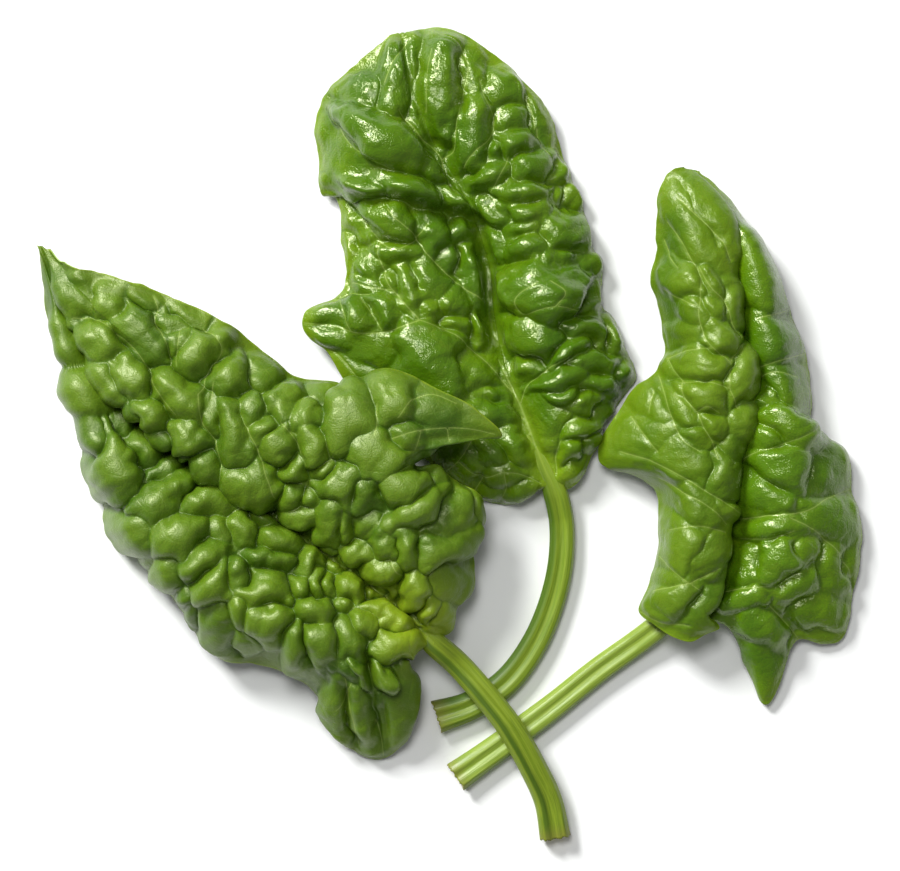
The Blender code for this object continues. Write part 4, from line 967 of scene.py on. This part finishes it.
def border(ids: NDArray[np.int64]) -> NDArray[np.int64]:
    """The vertex numbers round a grid's border, once round."""
    return np.concatenate([ids[0, :-1], ids[:-1, -1], ids[-1, :0:-1], ids[:0:-1, 0]])


def mesh_of(name: str, points: Array, faces: list[NDArray[np.int64]]) -> bpy.types.Mesh:
    """A smooth-shaded mesh.

    Args:
        name: the mesh's name.
        points: its vertices, one in each row.
        faces: tables of vertex numbers, a face in each row; the faces of one table have as many sides.

    Returns:
        The mesh.
    """
    corners = np.concatenate([table.ravel() for table in faces]).astype(np.int32)
    sides = np.concatenate([np.full(len(table), table.shape[1]) for table in faces])
    starts = np.concatenate([[0], np.cumsum(sides)[:-1]]).astype(np.int32)
    mesh = bpy.data.meshes.new(name)
    mesh.vertices.add(len(points))
    mesh.vertices.foreach_set("co", points.astype(np.float32).ravel())
    mesh.loops.add(len(corners))
    mesh.loops.foreach_set("vertex_index", corners)
    mesh.polygons.add(len(sides))
    mesh.polygons.foreach_set("loop_start", starts)
    mesh.update(calc_edges=True)
    mesh.shade_smooth()
    return mesh


def linked(name: str, data: Any) -> bpy.types.Object:
    """Puts a mesh, light or camera into the scene as an object."""
    made = bpy.data.objects.new(name, data)
    bpy.context.scene.collection.objects.link(made)
    return made


def placed(mesh: bpy.types.Mesh, node: str, letter: str = "a") -> bpy.types.Object:
    """Puts a finished mesh into the scene as the piece that stands for a node.

    Args:
        mesh: the finished mesh, with its place in it.
        node: the node that it replaces.
        letter: tells the pieces of one node apart.

    Returns:
        The piece's object.
    """
    piece = linked(f"{node}_look_{letter}", mesh)
    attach(piece, "root")
    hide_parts(node)
    return piece


@dataclass
class Stalk:
    """A grooved stalk from its cut end up to the blade, and on as the rib along the blade's midrib."""

    leaf: Leaf
    path: list[tuple[float, float, float]]
    skin: bpy.types.Material
    cut: bpy.types.Material
    end_flare: float = 0.06
    stand_up: list[tuple[float, float]] = field(default_factory=lambda: [(0.0, 0.0), (1.0, -1.0)])
    half_width: float = 3.5 * MM
    half_height: float = 2.7 * MM
    groove: float = 1.0 * MM
    rings: int = 260
    sides: int = 96
    rib_end: float = 0.9
    seat_angle: float = 75.0
    blend_rings: int = 12
    blend_passes: int = 30
    ragged: float = 0.35 * MM
    bulge: float = 0.5 * MM

    def route(self) -> tuple[Array, Array, Array]:
        """Middles, scales and places along: the stalk's route, then the midrib sunk below the blade.

        Returns:
            The middles, the section's scale at each, and how far along each is: -1 at the cut to 0 at the blade,
            then on to 1 at the rib's end.
        """
        rib_scales, stalk_scales = np.array(RIB_SCALES), np.array(STALK_SCALES)
        rib_rings = self.rings // 2
        along = np.linspace(0, self.rib_end, rib_rings)
        scale = np.interp(along / self.rib_end, rib_scales[:, 0], rib_scales[:, 1])
        rib = self.leaf.sheet(along, np.array([-0.01, 0.0, 0.01]))[:, 1]
        rises = np.array(self.stand_up)
        rib[:, 2] += np.interp(along, rises[:, 0], rises[:, 1]) * MM - scale * self.half_height
        bottom = self.half_height * math.sin(math.radians(self.seat_angle))
        lower = from_plan(np.array(self.path, float))
        first = rib[:1] - [0.0, 0.0, bottom * scale[0]]
        route = np.concatenate([lower, first])
        gone = walked(np.linalg.norm(np.diff(route, axis=0), axis=1))
        gone /= gone[-1]
        where = np.linspace(0, 1, self.rings - rib_rings + 1)[:-1]
        stem = hermite(gone, route, where)
        stem_scale = np.interp(where, stalk_scales[:, 0], stalk_scales[:, 1])
        stem[:, 2] += bottom * stem_scale
        middles = np.concatenate([stem, rib])
        scales = np.concatenate([stem_scale, scale])
        start, end = len(stem) - self.blend_rings, len(stem) + self.blend_rings
        for _ in range(self.blend_passes):
            middles[start:end] = (
                0.25 * middles[start - 1 : end - 1]
                + 0.5 * middles[start:end]
                + 0.25 * middles[start + 1 : end + 1]
            )
        return middles, scales, np.concatenate([where - 1.0, along / self.rib_end])

    def section(self, angles: Array, along: Array) -> tuple[Array, Array]:
        """The stalk's outline: an ellipse with a groove between two shoulders on top and fine ribs all round.

        Args:
            angles: angles round the stalk, from its right side over its top.
            along: places along it, from -1 at the cut.

        Returns:
            Sideways and upward offsets [along, angles] at scale 1.
        """
        ribs = 0.05 * MM * np.cos(9 * angles + 1.6 * np.sin(2.1 * along[:, None] + 2 * angles))
        ribs = ribs + 0.015 * MM * np.cos(23 * angles + 3.0 * np.sin(3.3 * along[:, None]))
        x = (self.half_width + ribs) * np.cos(angles)
        y = (self.half_height + ribs) * np.sin(angles)
        dip = np.exp(-((x / (0.42 * self.half_width)) ** 2))
        y = y - self.groove * dip * smoothstep(0.0, 0.5 * self.half_height, y)
        return x, y

    def swept(self) -> tuple[Array, Array, Array]:
        """Sweeps the section along the route with its top kept upwards, flattens it on the table and caps it.

        Returns:
            Points [ring, side], the angle of each side, and how far along each ring is.
        """
        middles, scales, along = self.route()
        forward = unit(np.gradient(middles, axis=0))
        aside = unit(np.cross(forward, [0.0, 0.0, 1.0]))
        upward = np.cross(aside, forward)
        angles = np.linspace(0, math.tau, self.sides, endpoint=False)
        x, y = self.section(angles, along)
        flare = 1 + self.end_flare * np.exp(-(along + 1) * 14)
        x, y = x * (scales * flare)[:, None], y * (scales * flare)[:, None]
        rings = middles[:, None] + aside[:, None] * x[:, :, None] + upward[:, None] * y[:, :, None]
        draw = np.random.default_rng(self.leaf.seed + 5)
        ragged = draw.normal(0, 1, self.sides)
        ragged = (ragged + np.roll(ragged, 1) + np.roll(ragged, 2)) / 3
        near = np.exp(-(along + 1) * 40)[:, None] * (self.ragged * ragged)[None, :]
        rings = rings + forward[:, None] * near[:, :, None]
        rings[:, :, 2] = np.maximum(rings[:, :, 2], 0.0)
        cap = [
            rings[:1] * (1 - t) + rings[0].mean(axis=0) * t + forward[0] * self.bulge * math.sin(t * 1.5)
            for t in CUT_RINGS
        ]
        tip = rings[-1:].mean(axis=1, keepdims=True)
        body = np.concatenate([*cap, rings, tip + (rings[-1:] - tip) * 0.02])
        body[:, :, 2] = np.maximum(body[:, :, 2], 0.0)
        return body, angles, np.concatenate([np.full(len(CUT_RINGS), -1.0), along, [1.0]])

    def build(self) -> bpy.types.Object:
        """Makes the swept stalk's mesh, with its first and its last ring each drawn together in one point.

        Returns:
            The stalk's object, at the origin.
        """
        body, angles, along = self.swept()
        ids = np.arange(len(body) * self.sides).reshape(len(body), self.sides)
        turned = np.roll(ids, -1, axis=1)
        faces = np.stack([ids[:-1], ids[1:], turned[1:], turned[:-1]], axis=2).reshape(-1, 4)
        slots = np.zeros(len(faces), np.int32)
        slots[: len(CUT_RINGS) * self.sides] = 1
        points = body.reshape(-1, 3)
        for pole in (slice(0, self.sides), slice(-self.sides, None)):
            points[pole] = points[pole].mean(axis=0)
        mesh = mesh_of(f"{self.leaf.name}_stalk_skin", points, [faces])
        mesh.polygons.foreach_set("material_index", slots)
        self.mark(mesh, angles, along)
        weld(mesh)
        for finish in (self.skin, self.cut):
            mesh.materials.append(finish)
        return placed(mesh, f"{self.leaf.name}_stalk")

    def mark(self, mesh: bpy.types.Mesh, angles: Array, along: Array) -> None:
        """Stores how far along and how far round each vertex is.

        Args:
            mesh: the swept mesh.
            angles: angles round the stalk.
            along: place along of each ring.
        """
        ring = np.broadcast_to(along[:, None], (len(along), self.sides))
        values = mesh.attributes.new("along", "FLOAT", "POINT").data
        values.foreach_set("value", ring.astype(np.float32).ravel())
        round_ = np.broadcast_to(angles[None, :], ring.shape)
        uv = mesh.uv_layers.new(name="UVMap")
        corners = np.zeros(len(mesh.loops), np.int32)
        mesh.loops.foreach_get("vertex_index", corners)
        flat = np.stack([round_.ravel(), ring.ravel()], axis=1)[corners]
        u = flat[:, 0].reshape(-1, 4)
        u = np.where(u.max(axis=1, keepdims=True) - u > math.pi, u + math.tau, u)
        flat[:, 0] = u.ravel() / math.tau
        uv.data.foreach_set("uv", flat.astype(np.float32).ravel())


def weld(mesh: bpy.types.Mesh) -> None:
    """Merges the points that a pole gathers in one place."""
    shape = bmesh.new()
    shape.from_mesh(mesh)
    bmesh.ops.remove_doubles(shape, verts=shape.verts, dist=1e-7)
    bmesh.ops.recalc_face_normals(shape, faces=shape.faces)
    shape.to_mesh(mesh)
    shape.free()


class Wire:
    """A socket of a node tree that can be used in sums: each operator adds the Math node that it needs."""

    def __init__(self, tree: "Tree", socket: bpy.types.NodeSocket) -> None:
        """Wraps a socket of the tree."""
        self.tree = tree
        self.socket = socket

    def _math(self, operation: str, *values: Any) -> "Wire":
        """One Math node over the given values."""
        return self.tree.node("ShaderNodeMath", {"operation": operation}, dict(enumerate(values)))

    def __add__(self, other: Any) -> "Wire":
        """self + other"""
        return self._math("ADD", self, other)

    __radd__ = __add__

    def __mul__(self, other: Any) -> "Wire":
        """self * other"""
        return self._math("MULTIPLY", self, other)

    def __sub__(self, other: Any) -> "Wire":
        """self - other"""
        return self._math("SUBTRACT", self, other)

    def size(self) -> "Wire":
        """The number without its sign."""
        return self._math("ABSOLUTE", self)

    def or_larger(self, other: "Wire") -> "Wire":
        """The larger of two numbers."""
        return self._math("MAXIMUM", self, other)

    def clamp(self) -> "Wire":
        """Kept from 0 to 1."""
        return self.tree.node("ShaderNodeClamp", {}, {"Value": self})

    def ramp(self, low: float, high: float) -> "Wire":
        """0 at low and 1 at high, smooth between them; low may be the larger."""
        return self.tree.node(
            "ShaderNodeMapRange",
            {"interpolation_type": "SMOOTHSTEP"},
            {"Value": self, "From Min": low, "From Max": high, "To Min": 0.0, "To Max": 1.0},
        )


class Tree:
    """A material's node tree, with one method that makes any node."""

    def __init__(self, name: str) -> None:
        """Starts a material of the given name with its Principled shader."""
        self.material = bpy.data.materials.new(name)
        self.material.use_nodes = True
        self.nodes = self.material.node_tree.nodes
        self.links = self.material.node_tree.links
        self.shader = self.nodes["Principled BSDF"]

    def node(self, kind: str, settings: dict[str, Any], inputs: dict[Any, Any], output: Any = 0) -> Wire:
        """Makes one node.

        Args:
            kind: the node's type.
            settings: its properties, set first.
            inputs: values or wires for its sockets, by name or number.
            output: which output to return.

        Returns:
            The output, wrapped.
        """
        made = self.nodes.new(kind)
        for name, value in settings.items():
            setattr(made, name, value)
        for name, value in inputs.items():
            self.feed(made.inputs[name], value)
        return Wire(self, made.outputs[output])

    def feed(self, socket: bpy.types.NodeSocket, value: Any) -> None:
        """Links a wire to a socket, or sets its value."""
        if isinstance(value, Wire):
            self.links.new(value.socket, socket)
        elif socket.type == "RGBA":
            socket.default_value = (*value, 1.0)
        else:
            socket.default_value = value

    def attribute(self, name: str) -> Wire:
        """A number stored on the mesh."""
        return self.node("ShaderNodeAttribute", {"attribute_name": name}, {}, "Fac")

    def uv(self) -> Wire:
        """The piece's own chart."""
        return self.node("ShaderNodeUVMap", {"uv_map": "UVMap"}, {})

    def place(self) -> Wire:
        """Object coordinates, in metres."""
        return self.node("ShaderNodeTexCoord", {}, {}, "Object")

    def noise(self, vector: Wire, scale: float, detail: float = 3.0) -> Wire:
        """Smooth noise from 0 to 1."""
        inputs = {"Vector": vector, "Scale": scale, "Detail": detail, "Roughness": 0.55}
        return self.node("ShaderNodeTexNoise", {}, inputs, "Fac")

    def net(self, vector: Wire, scale: float) -> Wire:
        """Distance to the nearest border between random cells, 0 on it."""
        inputs = {"Vector": vector, "Scale": scale, "Randomness": 0.9}
        return self.node("ShaderNodeTexVoronoi", {"feature": "DISTANCE_TO_EDGE"}, inputs, "Distance")

    def mix(self, factor: Any, low: Any, high: Any) -> Wire:
        """The colour low where factor is 0, and high where it is 1."""
        made = self.nodes.new("ShaderNodeMix")
        made.data_type = "RGBA"
        self.feed(made.inputs["Factor"], factor)
        self.feed(made.inputs[6], low)
        self.feed(made.inputs[7], high)
        return Wire(self, made.outputs[2])

    def bump(self, height: Wire, distance: float, strength: float = 1.0) -> None:
        """Bumps the shader's normal by a height from 0 to 1 over the given distance."""
        inputs = {"Height": height, "Distance": distance, "Strength": strength}
        self.feed(self.shader.inputs["Normal"], self.node("ShaderNodeBump", {}, inputs))

    def set(self, **sockets: Any) -> bpy.types.Material:
        """Feeds the shader's sockets, with underscores for spaces, and returns the material."""
        for name, value in sockets.items():
            self.feed(self.shader.inputs[name.replace("_", " ")], value)
        return self.material


# How light sinks into a leaf, for both of its skins.
LEAF_SUBSURFACE = {
    "Subsurface_Weight": 0.12,
    "Subsurface_Radius": (0.35, 1.0, 0.12),
    "Subsurface_Scale": 0.6 * MM,
}


@dataclass(frozen=True)
class LeafSkin:
    """The upper skin of a blade: green cells tinted by their height, pale veins in the creases, and painted light
    and shade. The creases are darkened as painted shade, the hollows are lightened as painted light through the
    leaf, and a thin pale line at the rim is painted sheen. Where the crown colour is lighter than mid, the crowns
    carry a painted sheen; where it is darker, the lighter flats stand for light through the thin leaf.
    """

    name: str
    deep: Colour
    mid: Colour
    crown: Colour
    young: Colour
    vein: Colour
    gloss: Gloss
    # The colour painted into the hollows as light shining through the leaf, and also put into random mottles.
    low: Colour = (0.10, 0.17, 0.004)
    painted_hollow_glow: float = 0.5
    painted_crease_shade: float = 0.55
    vein_shows: float = 0.5
    young_end: float = 0.3
    young_side: float = 0.9
    margin: float = 0.15
    shine: float = 0.3
    depth: float = 0.2 * MM
    fine: float = 0.1

    def material(self) -> bpy.types.Material:
        """Builds the finish.

        Returns:
            The material.
        """
        tree = Tree(self.name)
        place = tree.place()
        crown, crease = tree.attribute("crown"), tree.attribute("crease")
        vein, tone = tree.attribute("vein"), tree.attribute("tone")
        along, beside, rim = tree.attribute("along"), tree.attribute("beside"), tree.attribute("rim")
        cloud, mottle = tree.noise(place, CLOUD, 4.0), tree.noise(place, MOTTLE, 3.0)
        speck, grain = tree.noise(place, SPECK, 2.0), tree.noise(place, GRAIN, 1.0)
        side = tree.attribute("vein_side").size()
        low = tree.attribute("low")
        green = tree.mix(cloud.ramp(0.3, 0.7), self.deep, self.mid)
        # Each place is tinted towards the crown colour by its height on the cell, by the cell's random tone and by
        # mottles. The height part is painted light: a sheen on the crowns where the crown colour is lighter than
        # mid; where it is darker, the flats stay lighter as painted light through the thin leaf.
        light = (crown * 0.7 + tone * 0.18 + speck * self.fine + mottle * 0.5).ramp(0.3, 1.25)
        green = tree.mix(light * 0.85, green, self.crown)
        # Painted light: the hollows are lightened towards the low colour, as if light shone through the leaf
        # there.
        green = tree.mix(low * self.painted_hollow_glow, green, self.low)
        green = tree.mix(mottle.ramp(0.52, 0.72) * cloud.ramp(0.4, 0.62) * 0.45, green, self.low)
        green = tree.mix(grain.ramp(0.35, 0.65) * 0.25, green, self.deep)
        young = (along + beside * self.young_side + cloud * 0.12).ramp(self.young_end, 0.06)
        green = tree.mix(young * 0.9, green, self.young)
        # Towards the rim the colour goes over to the young yellow-green. A thin pale line at the very edge is
        # painted sheen and light through the thin edge, and a wider band inside it is paler by the margin share.
        green = tree.mix(rim.ramp(0.1, 0.0) * 0.5 + rim.ramp(0.9, 0.1) * self.margin, green, self.young)
        net = tree.net(place, NET)
        line = side.ramp(0.75, 0.3) * vein.ramp(3.0, 1.5)
        halo = vein.ramp(3.2, 0.6) * 0.2
        lines = line.or_larger(halo).or_larger(net.ramp(0.035, 0.0) * self.fine * 0.7)
        # Painted shade: the creases between the cells are darkened towards the deep green.
        green = tree.mix(crease.ramp(0.16, 0.0) * self.painted_crease_shade, green, self.deep)
        green = tree.mix(lines.clamp() * self.vein_shows, green, self.vein)
        roughness = self.gloss.value[0] + speck * 0.14 + mottle * 0.12 - crown * 0.04
        height = net.ramp(0.0, 0.12) * 0.12 + speck * 0.38 + grain * 0.5
        tree.bump(height, self.depth, 0.8)
        return tree.set(
            Base_Color=green,
            Roughness=roughness,
            Specular_IOR_Level=self.shine,
            Specular_Tint=(0.95, 1.0, 0.62),
            Coat_Weight=self.gloss.value[1],
            Coat_Roughness=self.gloss.value[2],
            Coat_IOR=1.4,
            **LEAF_SUBSURFACE,
        )


@dataclass(frozen=True)
class UnderSkin:
    """The underside of a blade: paler and duller, with raised veins."""

    name: str
    skin: Colour
    shade: Colour
    vein: Colour
    gloss: Gloss = Gloss.SATIN

    def material(self) -> bpy.types.Material:
        """Builds the finish.

        Returns:
            The material.
        """
        tree = Tree(self.name)
        place = tree.place()
        crease, vein, rim = tree.attribute("crease"), tree.attribute("vein"), tree.attribute("rim")
        crown = tree.attribute("crown")
        cloud = tree.noise(place, 70.0, 4.0)
        speck = tree.noise(place, SPECK, 2.0)
        green = tree.mix((cloud + crown * 0.5).ramp(0.35, 0.95), self.skin, self.shade)
        net = tree.net(place, NET)
        lines = (crease.ramp(0.09, 0.02) * 0.7).or_larger(vein.ramp(1.7, 0.7))
        lines = lines.or_larger(net.ramp(0.05, 0.006) * 0.5)
        # A pale line at the very rim is painted sheen and light through the thin edge.
        lines = (lines + rim.ramp(0.1, 0.0) * 0.4).clamp()
        green = tree.mix(lines * 0.8, green, self.vein)
        height = lines * 0.6 + speck * 0.15 + cloud * 0.25
        tree.bump(height, 0.3 * MM, 0.9)
        return tree.set(
            Base_Color=green,
            Roughness=self.gloss.value[0] + speck * 0.15,
            Coat_Weight=self.gloss.value[1],
            Coat_Roughness=0.2,
            **LEAF_SUBSURFACE,
        )


@dataclass(frozen=True)
class StalkSkin:
    """A stalk's skin: faint stripes running lengthways, and one dark band along the groove."""

    name: str
    ridge: Colour
    groove: Colour
    green: Colour
    band_at: float = 0.32
    band_half: float = 0.05
    band_share: float = 0.8

    def material(self) -> bpy.types.Material:
        """Builds the finish.

        Returns:
            The material.
        """
        tree = Tree(self.name)
        chart, place = tree.uv(), tree.place()
        along = tree.attribute("along")
        turn = tree.node("ShaderNodeSeparateXYZ", {}, {0: chart}, "X")
        stretched = tree.node("ShaderNodeMapping", {}, {"Vector": chart, "Scale": (34.0, 2.5, 1.0)})
        threads = tree.node("ShaderNodeMapping", {}, {"Vector": chart, "Scale": (110.0, 9.0, 1.0)})
        stripe = tree.noise(stretched, 1.0, 2.0)
        thread = tree.noise(threads, 1.0, 2.0)
        cloud = tree.noise(place, 90.0, 3.0)
        off = (turn + cloud * 0.03 - self.band_at - 0.015).size()
        band = off.ramp(self.band_half, self.band_half * 0.35) * along.ramp(0.2, -0.05)
        colour = tree.mix((stripe * 0.75 + cloud * 0.25).ramp(0.32, 0.62), self.groove, self.ridge)
        colour = tree.mix(thread.ramp(0.45, 0.7) * 0.4, colour, self.green)
        colour = tree.mix(band * self.band_share, colour, self.green)
        dry = (along + cloud * 0.06).ramp(-0.9, -0.99)
        colour = tree.mix(dry * 0.55, colour, (0.20, 0.17, 0.03))
        height = stripe * 0.6 + thread * 0.4
        tree.bump(height, 0.22 * MM, 0.8)
        return tree.set(
            Base_Color=colour,
            Roughness=0.36 + thread * 0.15,
            Specular_IOR_Level=0.35,
            Coat_Weight=0.12,
            Coat_Roughness=0.15,
            Subsurface_Weight=0.2,
            Subsurface_Radius=(0.8, 1.0, 0.25),
            Subsurface_Scale=1.0 * MM,
        )


@dataclass(frozen=True)
class PlainSkin:
    """A mottled finish for small surfaces: blade rims and cut ends."""

    name: str
    light: Colour
    dark: Colour
    scale: float
    roughness: float

    def material(self) -> bpy.types.Material:
        """Builds the finish.

        Returns:
            The material.
        """
        tree = Tree(self.name)
        spots = tree.noise(tree.place(), self.scale, 4.0)
        tree.bump(spots, 0.2 * MM, 0.6)
        colour = tree.mix(spots.ramp(0.35, 0.65), self.dark, self.light)
        return tree.set(Base_Color=colour, Roughness=self.roughness)


@dataclass
class Studio:
    """A pale table, a soft key light from the upper left, a softer one nearly overhead, and the camera."""

    floor_colour: Colour = (0.86, 0.87, 0.86)
    floor_size: float = 3.0
    floor_top: float = -0.02 * MM
    key_power: float = 66.0
    top_power: float = 12.0
    fill: float = 0.22
    view_width: float = 0.225
    lens: float = 160.0

    def build(self) -> None:
        """Makes the floor, the lights, the world and the camera."""
        self.floor()
        self.lamp("key", (-1.08, 1.34, 1.32), 0.6, self.key_power)
        self.lamp("top", (-0.2, 0.5, 1.6), 0.5, self.top_power)
        self.world()
        self.camera()

    def floor(self) -> None:
        """A flat table top, a little below the object's own flats so that they don't share a plane."""
        size, top = self.floor_size, self.floor_top
        ends = np.array([(-size, -size, top), (size, -size, top), (size, size, top), (-size, size, top)])
        mesh = mesh_of("table", ends, [np.array([[0, 1, 2, 3]])])
        tree = Tree("table_white")
        grain = tree.noise(tree.place(), 30.0, 3.0)
        lighter = tuple(min(1.0, c * 1.02) for c in self.floor_colour)
        mesh.materials.append(tree.set(Base_Color=tree.mix(grain, self.floor_colour, lighter), Roughness=0.85))
        table = linked("table", mesh)

    def lamp(self, name: str, place: tuple[float, float, float], size: float, power: float) -> None:
        """Hangs a square panel that faces the middle of the table.

        Args:
            name: the lamp's name.
            place: where it hangs.
            size: its side.
            power: its power in watts.
        """
        panel = bpy.data.lights.new(name, "AREA")
        panel.shape = "SQUARE"
        panel.size = size
        panel.energy = power
        hung = linked(name, panel)
        hung.location = place
        hung.rotation_euler = aim(np.array(place), np.zeros(3))

    def world(self) -> None:
        """An even white all round."""
        world = bpy.data.worlds.new("studio")
        world.use_nodes = True
        sky = world.node_tree.nodes["Background"].inputs
        sky["Color"].default_value = (1.0, 1.0, 1.0, 1.0)
        sky["Strength"].default_value = self.fill
        bpy.context.scene.world = world

    def camera(self) -> None:
        """Straight above the table at EYE_HEIGHT, with the plan's centre a step and a half left of the view's."""
        lens = bpy.data.cameras.new("overhead")
        lens.lens = self.lens
        lens.sensor_width = self.view_width * self.lens / EYE_HEIGHT
        lens.sensor_fit = "HORIZONTAL"
        lens.clip_start = 0.01
        eye = linked("overhead", lens)
        eye.location = (1.5 * PLAN_STEP, -1.0 * PLAN_STEP, EYE_HEIGHT)
        bpy.context.scene.camera = eye
        bpy.context.scene.view_settings.view_transform = "Standard"


def aim(place: Array, target: Array) -> tuple[float, float, float]:
    """Turns about X and Z that point a light's -Z axis from place to target."""
    way = unit(target - place)
    return math.acos(-way[2]), 0.0, math.atan2(-way[0], way[1])


@dataclass
class Bunch:
    """The three leaves with their finishes."""

    young: Colour = (0.17, 0.27, 0.006)
    pale: Colour = (0.30, 0.40, 0.09)

    def build(self) -> None:
        """Builds each leaf's blade and stalk."""
        # The blade's edge faces are painted pale, as sheen and light through the thin edge.
        rim = PlainSkin("blade_rim_sheen", (0.42, 0.52, 0.16), (0.24, 0.38, 0.06), 300.0, 0.5).material()
        cut = PlainSkin("cut_end", (0.52, 0.50, 0.20), (0.30, 0.24, 0.08), 700.0, 0.6).material()
        for leaf, skins, under, stalk in self.plans():
            made = [skin.material() for skin in skins]
            pieces = Blade(leaf, (made[0], made[-1]), under.material(), rim).build()
            pieces.append(Stalk(leaf=leaf, cut=cut, **stalk).build())
            for piece in pieces:
                log.info("%s: %d faces", piece.name, len(piece.data.polygons))

    def plans(self) -> list[tuple[Leaf, list[LeafSkin], UnderSkin, dict[str, Any]]]:
        """What each leaf is made of.

        Returns:
            For each leaf its form, its upper skin or skins from left to right, its underside, and its stalk's own
            values.
        """
        young, pale = self.young, self.pale
        left = Leaf("left", LEFT_GUIDES, (LEFT_CELLS, LEFT_CELLS), (LEFT_VEINS, LEFT_VEINS), ([], []),
                    4.3 * MM, 1.6 * MM, 11, pits=LEFT_PITS, dome_width=0.72, dome_power=0.75, softness=2,
                    join=0.18, join_spread=0.5, bend=1.2, swell=0.6 * MM, sink=0.55 * MM, lobing=0.5)
        middle = Leaf("middle", MIDDLE_GUIDES, (MIDDLE_CELLS, MIDDLE_CELLS), (MIDDLE_VEINS, MIDDLE_VEINS),
                      (MIDDLE_LEDGES, MIDDLE_LEDGES), 4.1 * MM, 1.4 * MM, 23, pits=MIDDLE_PITS, softness=4,
                      dome_power=0.8, join=0.25, lobing=0.42)
        right = Leaf("right", RIGHT_GUIDES, (RIGHT_OVER_CELLS, RIGHT_UNDER_CELLS),
                     (RIGHT_OVER_VEINS, RIGHT_UNDER_VEINS), ([], RIGHT_LEDGES), 2.9 * MM, 1.2 * MM, 37, over=-0.1,
                     dome_width=0.6, dome_power=0.7, softness=3, join=0.2, lobing=0.35)
        stalk_pale = StalkSkin("stalk_pale", (0.27, 0.37, 0.045), (0.19, 0.29, 0.02), (0.10, 0.19, 0.006),
                               band_at=0.04, band_half=0.06).material()
        stalk_green = StalkSkin("stalk_green", (0.205, 0.28, 0.016), (0.14, 0.215, 0.007),
                                (0.035, 0.085, 0.001)).material()
        stalk_two = StalkSkin("stalk_two", (0.20, 0.285, 0.016), (0.14, 0.23, 0.008), (0.04, 0.10, 0.001),
                              band_at=0.42, band_half=0.12).material()
        return [
            (
                left,
                [
                    # Its crown colour is a little lighter than mid: a painted sheen on the crowns.
                    LeafSkin("left_skin", (0.030, 0.086, 0.001), (0.098, 0.183, 0.003), (0.109, 0.193, 0.007),
                             (0.23, 0.32, 0.008), pale, Gloss.SATIN, young_end=0.56, young_side=0.5,
                             painted_crease_shade=0.8, shine=0.62, fine=0.24),
                ],
                UnderSkin("left_under", (0.15, 0.23, 0.04), (0.10, 0.18, 0.025), (0.26, 0.35, 0.09)),
                {
                    "path": [
                        (555, 836, -0.12), (548, 800, 1.4), (532, 765, 3.7), (510, 727, 5.6), (482, 691, 6.2),
                        (455, 661, 6.5),
                    ],
                    "skin": stalk_green,
                    "stand_up": [(0.0, 1.0), (0.03, 0.7), (0.07, -0.2), (0.12, -1.0), (1.0, -1.0)],
                },
            ),
            (
                middle,
                [
                    # Its crown colour is darker than mid, so the flats stay lighter as painted light through the
                    # thin leaf.
                    LeafSkin("middle_skin", (0.040, 0.110, 0.001), (0.104, 0.198, 0.002), (0.060, 0.140, 0.003),
                             young, pale, Gloss.WET, young_end=0.42, margin=0.5, shine=0.62, depth=0.28 * MM),
                ],
                UnderSkin("middle_under", (0.14, 0.22, 0.04), (0.09, 0.17, 0.02), (0.26, 0.35, 0.09)),
                {
                    "path": [
                        (437, 716, -0.12), (470, 705, -0.12), (505, 682, -0.12), (533, 645, -0.12), (552, 600, 0),
                        (561, 555, 0.5), (561, 520, 1.0),
                    ],
                    "skin": stalk_two,
                    "end_flare": 0.14,
                    "stand_up": [(0.0, 0.9), (0.08, 0.75), (0.18, 0.35), (0.25, -1.2), (0.36, -4.2), (1.0, -4.2)],
                },
            ),
            (
                right,
                [
                    # The left half's crown colour is lighter than mid, a painted sheen; the right half's is
                    # darker, so its flats stay lighter as painted light through the thin leaf.
                    LeafSkin("right_left_skin", (0.052, 0.123, 0.002), (0.114, 0.203, 0.004),
                             (0.121, 0.210, 0.009), young, pale, Gloss.MOIST, young_end=0.1, margin=0.3,
                             shine=0.45),
                    LeafSkin("right_right_skin", (0.043, 0.116, 0.001), (0.116, 0.222, 0.002),
                             (0.080, 0.178, 0.004), young, pale, Gloss.WET, young_end=0.1, margin=0.4, shine=0.62,
                             depth=0.28 * MM),
                ],
                UnderSkin("right_under", (0.14, 0.22, 0.04), (0.09, 0.17, 0.02), (0.26, 0.35, 0.09)),
                {
                    "path": [
                        (456, 776, -0.12), (500, 745, -0.12), (550, 708, -0.12), (600, 668, 0.2), (635, 643, 0.8),
                    ],
                    "skin": stalk_pale,
                },
            ),
        ]


def corners(box: Any) -> list[list[float]]:
    """A box's lowest and highest corners as plain lists."""
    return [[float(v) for v in corner] for corner in box]


def main() -> None:
    """Builds the studio and the bunch."""
    logging.basicConfig(level=logging.INFO, format="%(message)s")
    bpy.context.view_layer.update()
    Studio().build()
    Bunch().build()


if __name__ == "__main__":
    main()
